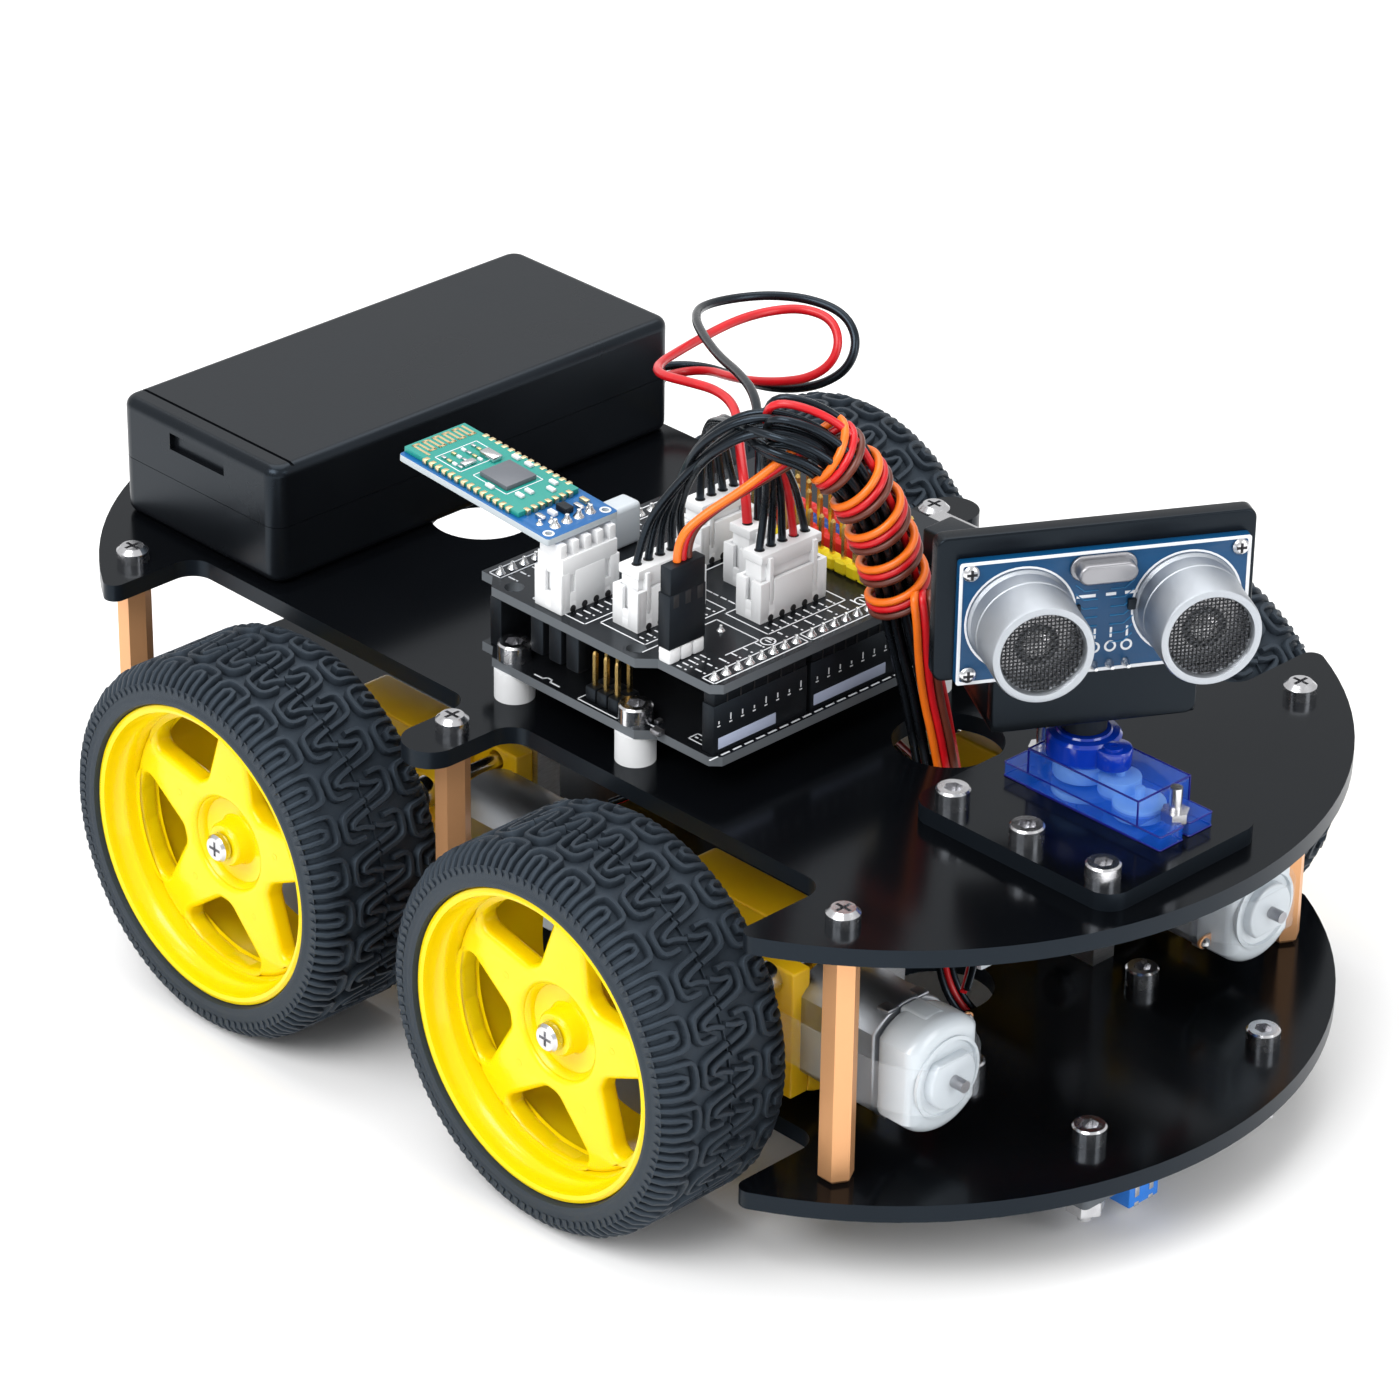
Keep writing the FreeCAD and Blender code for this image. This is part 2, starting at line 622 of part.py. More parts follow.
def make_rotor(corner, frame):
    """The motor's turning part: shaft, armature and the small pinion in the gearbox."""
    length = dim("rotor_end") - 12.0
    shaft = cylinder("rotor_shaft_" + corner, "rotor_radius", length, (12.0, 0, 0), FORWARD, frame)
    core = cylinder("rotor_core_" + corner, 6.6, 12.0, (26.5, 0, 0), FORWARD, frame)
    pinion = cylinder("rotor_pinion_" + corner, 2.4, 5.0, (12.0, 0, 0), FORWARD, frame)
    keep(fuse("motor_rotor_" + corner, [shaft, core, pinion]), "motor_rotor_" + corner)


def make_motors():
    names = ("gearbox_outer", "gearbox_inner", "can", "end_cap", "strap", "bracket")
    pieces = {name: [] for name in names}
    fasteners = []
    for corner, axle, side in CORNERS:
        frame = motor_frame(axle, side)
        pieces["gearbox_outer"].append(gearbox_shell("outer_shell_" + corner, frame, True))
        pieces["gearbox_inner"].append(gearbox_shell("inner_shell_" + corner, frame, False))
        pieces["can"].append(motor_can("can_" + corner, frame))
        pieces["end_cap"].append(motor_end_cap("end_cap_" + corner, frame))
        pieces["strap"].append(motor_strap("strap_" + corner, frame))
        pieces["bracket"].append(motor_bracket("bracket_" + corner, frame, side))
        fasteners += bracket_fasteners(frame)
        make_rotor(corner, frame)
        make_wheel(corner, axle, side)
    group("gearbox_outer_shells", pieces["gearbox_outer"])
    group("gearbox_inner_shells", pieces["gearbox_inner"])
    group("motor_cans", pieces["can"])
    group("motor_end_caps", pieces["end_cap"])
    group("motor_straps", pieces["strap"])
    group("motor_brackets", pieces["bracket"])
    for x, y in bracket_screw_places():
        fasteners.append(plate_pan_screw((x, y, dim("bottom_plate_z")), -UP, dim("plate_thick") + 7.0))
    shape_part("bracket_screws", fasteners)


# ---------------------------------------------------------------- battery box


def is_rim(level):
    """Picks the horizontal outer edges of a box at one height."""
    def wanted(edge):
        return all(abs(v.Point.z - level) < 1e-6 for v in edge.Vertexes)
    return wanted


def box_shell(label, low, high, floor_at_bottom):
    """Half of the battery box: a tray with rounded corners, opening towards the other half."""
    wide, long, wall = dim("box_wide"), dim("box_long"), dim("box_wall")
    tall = high - low
    body = doc.addObject("PartDesign::Body", label)
    base = sketch(body, label + "_base", "XY_Plane", rectangle(0, 0, wide, long))
    pad(body, label + "_block", base, tall)
    round_edges(body, label + "_corners", "box_corner", is_upright)
    closed_level = 0.0 if floor_at_bottom else tall
    round_edges(body, label + "_edges", "box_edge", is_rim(closed_level))
    lift = wall if floor_at_bottom else tall - wall
    inner = rectangle(wall, wall, wide - wall, long - wall)
    hollow = sketch(body, label + "_hollow", "XY_Plane", inner, lift)
    pocket(body, label + "_inside", hollow, tall, reverse=floor_at_bottom)
    body.Placement = Placement(Vector(dim("box_x"), dim("box_y"), low), Rotation())
    return body


def make_battery_box():
    low, high = TOP, TOP + dim("box_high")
    seam = TOP + dim("box_seam")
    base = box_shell("base_tray", low, seam - 0.1, True)
    middle_x = dim("box_x") + dim("box_wide") / 2
    holes = [cylinder("box_hole_%d" % n, "screw_hole_radius", 4.0, (x, y, low - 1))
             for n, (x, y) in enumerate(BOX_SCREWS)]
    wire_hole_place = (dim("box_x") + 36.0, dim("box_y") + dim("box_long") - 2.0, seam - 4.0)
    wire_hole = cylinder("box_wire_hole", 2.2, 4.0, wire_hole_place, LEFT)
    keep(cut("battery_box", base, holes + [wire_hole]), "battery_box")
    lid = box_shell("lid_tray", seam, high, False)
    groove_deep, latch_deep, latch_long = 0.5, 1.0, 14.0
    groove_corner = (dim("box_x") - 2.0, dim("box_y") + 4.0, high - groove_deep)
    groove = box("lid_groove", (dim("box_wide") + 4.0, 0.6, 1.0), groove_corner)
    latch_corner = (middle_x - latch_long / 2, dim("box_y") - 0.6, high - 5.5)
    latch = box("lid_latch", (latch_long, latch_deep + 0.6, 3.0), latch_corner)
    keep(cut("battery_lid", lid, [groove, latch]), "battery_lid")
    cells = []
    for sign in (1, -1):
        x = middle_x + sign * (dim("cell_radius") + 0.3)
        place = (x, dim("box_y") + (dim("box_long") - dim("cell_long")) / 2, low + dim("box_wall") + 9.2)
        can = cylinder("cell_can_%d" % (sign + 1), "cell_radius", "cell_long", place, LEFT)
        tip = cylinder("cell_tip_%d" % (sign + 1), 3.0, "cell_long + 1", place, LEFT)
        cells.append(fuse("cell_%d" % (sign + 1), [can, tip]))
    group("battery_cells", cells)


# ---------------------------------------------------------------- controller and shield boards


def board_outline():
    """The stepped outline of the controller board, in car coordinates."""
    points = [(0, 0), (66.04, 0), (66.04, 2.54), (68.58, 5.08), (68.58, 37.846), (66.04, 40.386),
              (66.04, 51.816), (64.516, 53.34), (0, 53.34)]
    return polygon([on_board(*point) for point in points])


def circuit_board(label, level):
    body = doc.addObject("PartDesign::Body", label)
    holes = [circle(*on_board(*place), dim("screw_hole_radius")) for place in BOARD_HOLES]
    profile = sketch(body, label + "_outline", "XY_Plane", board_outline() + holes)
    pad(body, label + "_pad", profile, "board_thick")
    body.Placement = Placement(Vector(0, 0, dim(level)), Rotation())
    return keep(body, label)


def board_block(name, along, across, level, high):
    """A box on the controller board, from ranges along and across it."""
    x, y = on_board(along[1], across[0])
    return box(name, (across[1] - across[0], along[1] - along[0], high), (x, y, level))


def make_controller():
    circuit_board("controller_board", "board_z")
    circuit_board("shield_board", "shield_z")
    sockets = [((18.8, 44.2), (49.5, 52.1)), ((45.0, 65.3), (49.5, 52.1)),
               ((27.4, 47.7), (1.3, 3.9)), ((50.3, 65.5), (1.3, 3.9))]
    parts = []
    for number, (along, across) in enumerate(sockets):
        parts.append(board_block("socket_%d" % number, along, across, BOARD_TOP, "socket_high"))
    port = board_block("usb_block", (-6.2, 10.0), (31.6, 43.6), BOARD_TOP, 10.6)
    mouth = board_block("usb_mouth", (-7.2, 3.8), (33.3, 41.9), BOARD_TOP + 2.0, 7.6)
    parts.append(cut("usb_port", port, [mouth]))
    jack = board_block("jack_block", (-1.8, 11.4), (5.5, 14.4), BOARD_TOP, 10.6)
    jack_place = (dim("board_x") + 9.95, dim("board_y") + 1.8 - 9.0, BOARD_TOP + 5.5)
    parts.append(cut("power_jack", jack, [cylinder("jack_bore", "jack_radius", 10.0, jack_place, LEFT)]))
    parts.append(board_block("processor", (37.0, 44.0), (19.0, 26.0), BOARD_TOP, 1.0))
    parts.append(board_block("usb_chip", (19.0, 24.0), (36.0, 41.0), BOARD_TOP, 1.0))
    parts.append(board_block("pin_base", (62.3, 67.3), (25.2, 32.6), BOARD_TOP, 2.5))
    group("controller_parts", parts)
    spacers = []
    screws = []
    for number, place in enumerate(BOARD_HOLES):
        x, y = on_board(*place)
        tube = cylinder("spacer_tube_%d" % number, "spacer_radius", dim("board_z") - TOP, (x, y, TOP))
        bore = cylinder("spacer_bore_%d" % number, "screw_hole_radius", dim("board_z") - TOP, (x, y, TOP))
        spacers.append(cut("spacer_%d" % number, tube, [bore]))
        screws.append(plate_cap_screw((x, y, BOARD_TOP), UP, 12.5))
        screws.append(nut((x, y, dim("top_plate_z") - dim("nut_high")), UP, dim("screw_radius")))
    group("board_spacers", spacers)
    shape_part("board_screws", screws)


# Each wire connector on the shield: its low corner, its size across X and Y, its plug's height.
CONNECTORS = [
    ("line_sensor", (15.9, -36.9), (5.7, 14.9), 3.4),
    ("motor", (26.9, -20.8), (5.5, 14.6), 4.4),
    ("radio", (3.0, -41.5), (6.2, 12.5), 5.0),
    ("rear_motor", (6.4, -14.0), (5.7, 12.4), 3.4),
    ("power", (17.6, -14.5), (5.7, 7.4), 3.4),
]
SOCKET_HIGH = 7.0
SOCKET_WALL = 0.9
SOCKET_FLOOR = 1.5
PIN_ROWS = [(1.6, 8.2, 12), (6.4, 8.2, 11), (8.9, 8.2, 11), (11.5, 8.2, 11)]
PIN_PITCH = 2.54
PIN_THICK = 0.64
PIN_LONG = 6.0
PIN_BASE_WIDE = 2.4
PIN_BASE_HIGH = 2.5
PROGRAMMING_PINS = (63.5, 66.04)
SERVO_PLUG = (31.2, -36.7)


def header_pin(x, y, level):
    """A square pin that stands out of the base of its header."""
    corner = Vector(x - PIN_THICK / 2, y - PIN_THICK / 2, level + PIN_BASE_HIGH)
    return Part.makeBox(PIN_THICK, PIN_THICK, PIN_LONG, corner)


def make_shield_parts():
    sockets = []
    plugs = []
    for name, (x, y), (wide, long), plug_high in CONNECTORS:
        block = box(name + "_block", (wide, long, SOCKET_HIGH), (x, y, SHIELD_TOP))
        well_corner = (x + SOCKET_WALL, y + SOCKET_WALL, SHIELD_TOP + SOCKET_FLOOR)
        well_size = (wide - 2 * SOCKET_WALL, long - 2 * SOCKET_WALL, SOCKET_HIGH)
        well = box(name + "_well", well_size, well_corner)
        sockets.append(cut(name + "_socket", block, [well]))
        inner = box(name + "_plug_low", (wide - 2.0, long - 2.0, 5.4), (x + 1.0, y + 1.0, SHIELD_TOP + 1.6))
        upper_corner = (x + 0.5, y + 0.7, SHIELD_TOP + SOCKET_HIGH)
        upper = box(name + "_plug_top", (wide - 1.0, long - 1.4, plug_high), upper_corner)
        plugs.append(fuse(name + "_plug", [inner, upper]))
    sockets.append(box("spare_socket", (4.4, 6.2, 7.4), (-5.4, -20.6, SHIELD_TOP)))
    plug_x, plug_y = SERVO_PLUG
    thick, long, base_high, plug_high = 2.6, 7.7, 2.6, 14.0
    corner = (plug_x - thick / 2, plug_y - long / 2, SHIELD_TOP)
    sockets.append(box("servo_pins_base", (thick, long - 0.1, base_high), corner))
    plug_corner = (corner[0], corner[1], SHIELD_TOP + base_high)
    plugs.append(box("servo_plug", (thick, long, plug_high), plug_corner))
    plugs.append(box("front_plug", (6.4, 6.6, 6.1), (34.3, 13.4, SHIELD_TOP)))
    group("shield_sockets", sockets)
    group("wire_plugs", plugs)
    solids = []
    for y, start, count in PIN_ROWS:
        corner = Vector(start - PIN_PITCH / 2, y - PIN_BASE_WIDE / 2, SHIELD_TOP)
        solids.append(Part.makeBox(PIN_PITCH * count, PIN_BASE_WIDE, PIN_BASE_HIGH, corner))
        solids += [header_pin(start + PIN_PITCH * step, y, SHIELD_TOP) for step in range(count)]
    for along in PROGRAMMING_PINS:
        solids += [header_pin(*on_board(along, 26.4 + PIN_PITCH * step), BOARD_TOP) for step in range(3)]
    shape_part("pin_headers", solids)


def make_radio():
    """The wireless board plugged on the shield: a base board, a module board and its chip."""
    frame = Placement(Vector(7.8, -43.1, SHIELD_TOP + SOCKET_HIGH + 5.2), Rotation(LEFT, 4.0))
    base = box("radio_base", (35.0, 15.1, 1.2), (-35.0, 0, 0), frame)
    module = box("radio_module_board", (27.0, 12.9, 0.9), (-35.0, 1.1, 1.2), frame)
    chip = box("radio_chip", (6.0, 6.0, 0.9), (-20.0, 4.5, 2.1), frame)
    keep(fuse("radio_board", [base, module, chip]), "radio_board")


# ---------------------------------------------------------------- servo


EAR_SCREWS = (73.7, 101.1)


def is_outer_corner(edge):
    return is_upright(edge) and abs(edge.firstVertex().Point.y) > 8.0


def make_servo_plate():
    plate = doc.addObject("PartDesign::Body", "servo_plate")
    holes = [circle(x, y, dim("screw_hole_radius")) for x, y in SERVO_PLATE_SCREWS]
    curves = rectangle(66.2, -22.0, 108.0, 12.9) + holes + servo_slot()
    pad(plate, "servo_plate_pad", sketch(plate, "servo_plate_outline", "XY_Plane", curves), "plate_thick")
    round_edges(plate, "servo_plate_corners", 4.0, is_outer_corner)
    plate.Placement = Placement(Vector(0, 0, dim("servo_plate_z")), Rotation())
    keep(plate, "servo_plate")


def make_servo():
    low, high, wall = dim("servo_bottom_z"), dim("servo_top_z"), dim("servo_wall")
    half, back, front = dim("servo_wide") / 2, dim("servo_back"), dim("servo_front")
    tall = high - low
    block = box("servo_block", ("servo_front - servo_back", "servo_wide", tall), (back, -half, low))
    ear_sizes = ("ear_front - ear_back", "servo_wide", "ear_thick")
    ears = box("servo_ears", ear_sizes, (dim("ear_back"), -half, SERVO_PLATE_TOP))
    tower_high = "tower_top_z - servo_top_z"
    tower = cylinder("servo_tower", "servo_wide / 2", tower_high, (dim("servo_x"), 0, high))
    step = cylinder("servo_step", 2.9, 3.2, (dim("servo_x") + 6.2, 0, high))
    inside = box("servo_inside", (front - back - 2 * wall, 2 * (half - wall), tall - 2 * wall),
                 (back + wall, -half + wall, low + wall))
    bore = cylinder("servo_bore", "spline_radius + running_gap", 8.0, (dim("servo_x"), 0, high - 2.0))
    ear_holes = [cylinder("ear_hole_%d" % n, 1.05, 4.0, (x, 0, SERVO_PLATE_TOP - 0.5))
                 for n, x in enumerate(EAR_SCREWS)]
    case = cut("servo_case", fuse("servo_outside", [block, ears, tower, step]), [inside, bore] + ear_holes)
    keep(case, "servo_case")
    motor = cylinder("servo_motor", 4.6, 13.5, (back + 16.6, 0, low + wall + 0.2))
    board = box("servo_circuit", (9.0, 8.6, 1.2), (back + wall + 0.6, -4.3, low + wall + 0.3))
    big_gear = cylinder("servo_gear_big", 4.4, 1.4, (back + 16.8, 0, low + 16.0))
    mid_gear = cylinder("servo_gear_mid", 3.2, 1.2, (back + 13.6, 0, low + 18.0))
    group("servo_internals", [motor, board, big_gear, mid_gear])
    screws = [plate_cap_screw((x, y, SERVO_PLATE_TOP), UP, 9.5) for x, y in SERVO_PLATE_SCREWS]
    nut_level = dim("top_plate_z") - dim("nut_high")
    screws += [nut((x, y, nut_level), UP, dim("screw_radius")) for x, y in SERVO_PLATE_SCREWS]
    ear_top = SERVO_PLATE_TOP + dim("ear_thick")
    for x in EAR_SCREWS:
        stud = revolved([(0, 0), (1.0, 0), (1.0, 8.0), (0, 8.0)], (x, 0, SERVO_PLATE_TOP))
        ring = hex_solid(4.0, 1.6, (x, 0, ear_top)).cut(Part.makeCylinder(1.0, 1.6, Vector(x, 0, ear_top)))
        screws += [stud, ring]
    shape_part("servo_screws", screws)


# ---------------------------------------------------------------- turning ultrasonic sensor


def pan_frame():
    """Local X faces the way the sensor looks, with the servo's axis at the local origin."""
    return Placement(Vector(dim("servo_x"), 0, 0), Rotation(UP, dim("sensor_yaw")))


BOARD_SHIFT = -0.5
HOLDER_FRONT = 6.1
BOARD_FRONT = 7.7
BRACKET_BOTTOM = 80.0
BRACKET_RIGHT = -16.7
BRACKET_WIDE = 32.4


def make_holder(frame):
    """The moulded holder: an upright plate behind the sensor on a tray that the servo turns."""
    bottom, top = dim("sensor_z") - 10.2, dim("sensor_z") + 13.7
    right, left = BOARD_SHIFT - 25.8, BOARD_SHIFT + 24.0
    thick = 3.0
    plate_back = HOLDER_FRONT - thick
    plate = box("holder_plate", (thick, left - right, top - bottom), (plate_back, right, bottom), frame)
    back = HOLDER_FRONT - 16.5
    front_corner = (plate_back, BRACKET_RIGHT, BRACKET_BOTTOM)
    front = box("holder_front", (thick - 0.3, BRACKET_WIDE, 12.0), front_corner, frame)
    floor = box("holder_floor", (16.0, BRACKET_WIDE, 2.2), (back, BRACKET_RIGHT, BRACKET_BOTTOM), frame)
    cheeks = [box("holder_cheek_%d" % n, (14.0, 2.0, 9.5), (back, y, BRACKET_BOTTOM), frame)
              for n, y in enumerate((BRACKET_RIGHT, BRACKET_RIGHT + BRACKET_WIDE - 2.0))]
    notch_wide = 15.0
    notch_corner = (HOLDER_FRONT - 0.5, BOARD_SHIFT - notch_wide / 2, bottom - 0.5)
    notch = box("holder_notch", (1.5, notch_wide, 3.4), notch_corner, frame)
    hole = cylinder("holder_hole", 1.2, 4.0, (0, 0, BRACKET_BOTTOM - 1.0), UP, frame)
    solid = fuse("holder_solid", [plate, front, floor] + cheeks)
    keep(cut("sensor_holder", solid, [notch, hole]), "sensor_holder")


def make_sensor():
    frame = pan_frame()
    make_holder(frame)
    half_long, half_tall = dim("sensor_long") / 2, dim("sensor_tall") / 2
    corner = (HOLDER_FRONT, BOARD_SHIFT - half_long, dim("sensor_z") - half_tall)
    slab = box("sensor_slab", (BOARD_FRONT - HOLDER_FRONT, "sensor_long", "sensor_tall"), corner, frame)
    screw_places = [(BOARD_SHIFT + across * 21.0, dim("sensor_z") + up * 8.5)
                    for across in (1, -1) for up in (1, -1)]
    holes = [cylinder("sensor_hole_%d" % n, 0.7, 4.0, (HOLDER_FRONT - 1.0, y, z), FORWARD, frame)
             for n, (y, z) in enumerate(screw_places)]
    keep(cut("sensor_board", slab, holes), "sensor_board")
    cans = []
    for sign in (1, -1):
        name = "ear_can_%d" % (sign + 1)
        place = (BOARD_FRONT, BOARD_SHIFT + sign * dim("can_pitch") / 2, dim("sensor_z"))
        shell = cylinder(name + "_shell", "can_outer", "can_deep", place, FORWARD, frame)
        mouth_start = (BOARD_FRONT + dim("can_deep") - 1.0, place[1], place[2])
        mouth = cylinder(name + "_mouth", "can_outer - 1.4", 2.0, mouth_start, FORWARD, frame)
        cans.append(cut(name, shell, [mouth]))
    group("sensor_cans", cans)
    crystal_corner = (BOARD_FRONT, BOARD_SHIFT - 5.8, dim("sensor_z") + 5.6)
    crystal = box("crystal", (3.4, 10.6, 4.2), crystal_corner, frame)
    pins = [box("sensor_pin_%d" % n, (2.4, 0.8, 0.8), (BOARD_FRONT, BOARD_SHIFT - 4.2 + PIN_PITCH * n,
                dim("sensor_z") - 9.6), frame) for n in range(4)]
    group("sensor_parts", [crystal] + pins)
    screws = [pan_screw((BOARD_FRONT, y, z), FORWARD, 1.5, 0.6, 1.25, 0.8) for y, z in screw_places]
    screws.append(pan_screw((0, 0, BRACKET_BOTTOM + 2.2), UP, 5.0, 0.9, 2.2, 1.4))
    for screw in screws:
        screw.Placement = frame.multiply(screw.Placement)
    shape_part("sensor_screws", screws)
    spline_bottom = dim("servo_top_z") - 1.6
    horn_bottom = dim("tower_top_z") + 0.2
    spline_top, gear_thick, tap_deep = horn_bottom + 1.4, 1.3, 4.5
    spline_start = (0, 0, spline_bottom)
    spline = cylinder("spline_bar", "spline_radius", spline_top - spline_bottom, spline_start, UP, frame)
    wheel = cylinder("spline_gear", 4.2, gear_thick, (0, 0, spline_bottom - gear_thick), UP, frame)
    tap = cylinder("spline_tap", 0.9, tap_deep, (0, 0, spline_top - tap_deep), UP, frame)
    keep(cut("servo_output", fuse("spline_solid", [spline, wheel]), [tap]), "servo_output")
    hub = cylinder("horn_hub", 3.5, BRACKET_BOTTOM - horn_bottom, (0, 0, horn_bottom), UP, frame)
    arm = box("horn_arm", (4.0, 24.0, 1.2), (-2.0, -12.0, BRACKET_BOTTOM - 1.2), frame)
    bore = cylinder("horn_bore", "spline_radius", 1.4, (0, 0, horn_bottom), UP, frame)
    pilot = cylinder("horn_pilot", 0.95, 4.0, (0, 0, horn_bottom), UP, frame)
    keep(cut("servo_horn", fuse("horn_solid", [hub, arm]), [bore, pilot]), "servo_horn")


# ---------------------------------------------------------------- line sensor under the front


def make_line_sensor():
    """A small board with three reflective sensors, hung under the bottom plate on spacers."""
    low = dim("line_board_z")
    board_top = low + dim("board_thick")
    board = box("line_board_slab", (32.0, 48.0, "board_thick"), (72.6, -19.9, low))
    holes = [cylinder("line_hole_%d" % n, "screw_hole_radius", 3.0, (x, y, low - 0.5))
             for n, (x, y) in enumerate(LINE_SENSOR_PLACES)]
    drilled = cut("line_board_drilled", board, holes)
    eyes = [box("line_eye_%d" % n, (5.0, 10.0, 3.0), (93.0, y, low - 3.0))
            for n, y in enumerate((-14.0, -0.9, 12.2))]
    trimmer = box("line_trimmer", (6.8, 6.8, 4.4), (97.8, -9.5, low - 4.4))
    sockets = box("line_socket", (5.7, 12.4, 5.2), (75.0, -2.0, board_top))
    keep(fuse("line_sensor_board", [drilled, trimmer, sockets] + eyes), "line_sensor_board")
    solids = []
    for x, y in LINE_SENSOR_PLACES:
        solids.append(plate_cap_screw((x, y, BOTTOM_TOP), UP, BOTTOM_TOP - low + 4.2))
        gap = dim("bottom_plate_z") - board_top
        tube = Part.makeCylinder(2.6, gap, Vector(x, y, board_top))
        bore = Part.makeCylinder(dim("screw_radius"), gap, Vector(x, y, board_top))
        solids.append(tube.cut(bore))
        solids.append(nut((x, y, low - dim("nut_high")), UP, dim("screw_radius")))
    shape_part("line_sensor_screws", solids)


# ---------------------------------------------------------------- wires


# The share of each straight run that the arc at either of its ends may take.
ARC_SHARE = 0.45


def cord_edges(name, points):
    """Straight runs through the points, joined by tangent arcs as large as the runs allow."""
    points = [Vector(*point) for point in points]
    ends = [points[0]]
    arcs = []
    radii = []
    for before, point, after in zip(points, points[1:], points[2:]):
        back, ahead = before - point, after - point
        shorter = min(back.Length, ahead.Length)
        back.normalize()
        ahead.normalize()
        half_turn = (math.pi - back.getAngle(ahead)) / 2
        reach = ARC_SHARE * shorter
        radius = reach / math.tan(half_turn)
        start, end = point + back * reach, point + ahead * reach
        inward = (back + ahead).normalize()
        centre_distance = radius / math.cos(half_turn)
        middle = point + inward * (centre_distance - radius)
        arcs.append(Part.Arc(start, middle, end).toShape())
        ends += [start, end]
        radii.append(round(radius, 1))
    ends.append(points[-1])
    runs = [Part.LineSegment(a, b).toShape() for a, b in zip(ends[::2], ends[1::2])]
    print(name, "bend radii", radii)
    edges = [runs[0]]
    for arc, run in zip(arcs, runs[1:]):
        edges += [arc, run]
    return edges


def pipe(name, edges, radius):
    """A round tube along joined edges, with its volume compared with section times length."""
    wire = Part.Wire(edges)
    start = edges[0].firstVertex().Point
    direction = edges[0].tangentAt(edges[0].FirstParameter)
    section = Part.Wire([Part.makeCircle(radius, start, direction)])
    solid = wire.makePipeShell([section], True, False)
    expected = math.pi * radius ** 2 * wire.Length
    ratio = solid.Volume / expected
    print(name, "length %.1f" % wire.Length, "volume ratio %.3f" % ratio)
    if abs(ratio - 1) > 0.02:
        raise RuntimeError(name + " has a bad volume")
    return solid


# The bundle of wires that rises from the shield, arches forward and drops through the cable hole.
HARNESS_ROUTE = [
    (25.0, -29.0, 104.0), (28.0, -28.5, 113.0), (35.0, -24.0, 119.0), (42.0, -17.5, 116.5),
    (46.5, -12.5, 107.5), (48.0, -8.0, 95.0), (48.3, -4.0, 81.0), (50.5, -1.5, 68.0), (52.5, 0.0, 54.0),
]
COIL_SPAN = slice(5, 10)
BRANCH_ROUTES = [
    [(18.7, -29.4, 92.4), (18.8, -29.4, 96.4), (21.0, -29.2, 100.8), (25.0, -29.0, 103.9)],
    [(29.6, -13.5, 93.6), (29.7, -13.8, 98.6), (32.0, -18.0, 105.0), (33.8, -20.5, 111.4)],
]
# Pairs of wires from each motor's terminals to the end of the bundle, for the left side of the car.
MOTOR_LEADS = [
    [(84.6, 27.4, 41.5), (82.5, 23.0, 44.5), (76.0, 16.5, 48.5), (67.5, 9.0, 52.0), (58.4, 3.4, 53.2)],
    [(5.6, 27.4, 41.5), (9.5, 22.0, 44.0), (20.0, 15.5, 48.0), (33.0, 8.5, 51.0), (47.6, 2.6, 52.6)],
]
LINE_SENSOR_LEAD = [
    (74.7, 4.2, 11.4), (69.0, 4.1, 11.3), (61.5, 2.6, 11.5), (55.5, 0.8, 16.5), (53.6, 0.2, 27.0),
    (53.0, 0.0, 40.0), (52.4, 0.0, 53.8),
]
# The flat servo lead: from its plug to the coil that it makes around the bundle, and down to the servo.
SERVO_LEAD_START = [
    (31.2, -36.7, 98.6), (31.2, -36.7, 102.5), (33.0, -33.0, 106.0), (36.0, -27.0, 109.5),
    (39.0, -22.4, 112.3),
]
SERVO_LEAD_END = [
    (54.4, -8.0, 92.0), (55.2, -7.6, 86.5), (55.0, -6.8, 80.0), (55.0, -5.4, 72.5),
    (56.4, -4.2, 65.0), (57.6, -3.4, 57.5),
]
# The two wires from the battery box loop beside it and come back over the shield to their plug.
BATTERY_RED = [
    (-62.5, 46.2, 69.5), (-62.3, 50.2, 69.6), (-59.7, 53.6, 70.3), (-55.2, 54.3, 71.5), (-49.5, 52.0, 73.3),
    (-41.0, 49.7, 76.0), (-32.8, 48.6, 79.0), (-26.4, 49.0, 81.8), (-22.7, 50.6, 85.2), (-22.6, 52.4, 89.0),
    (-26.0, 53.6, 91.8), (-31.0, 51.6, 92.6), (-34.3, 46.8, 92.4), (-35.0, 39.8, 92.6), (-33.4, 31.0, 93.0),
    (-30.5, 22.0, 94.0), (-27.0, 13.5, 95.3), (-21.0, 8.3, 97.3), (-12.5, 6.6, 99.5), (-4.0, 5.0, 101.5),
    (4.0, 1.2, 102.6), (10.2, -4.3, 102.2), (15.8, -9.0, 100.6), (19.6, -11.8, 97.6), (20.4, -12.05, 92.5),
]
BATTERY_BLACK = [
    (-66.5, 46.2, 69.5), (-66.4, 51.2, 69.4), (-63.6, 55.8, 69.4), (-58.4, 57.7, 69.8), (-51.0, 56.0, 71.2),
    (-41.5, 52.4, 74.0), (-32.5, 50.9, 77.0), (-25.3, 51.1, 80.3), (-20.9, 53.0, 84.3), (-21.3, 55.4, 88.8),
    (-25.6, 56.5, 91.9), (-31.5, 54.4, 93.2), (-36.6, 49.6, 93.8), (-39.6, 42.6, 94.2), (-38.8, 34.8, 95.4),
    (-33.0, 28.0, 97.2), (-24.0, 21.5, 98.8), (-13.5, 15.0, 100.7), (-3.5, 9.4, 103.2), (6.0, 3.4, 105.0),
    (12.8, -2.3, 104.4), (17.8, -6.9, 101.6), (20.2, -9.4, 97.4), (20.4, -9.55, 92.5),
]


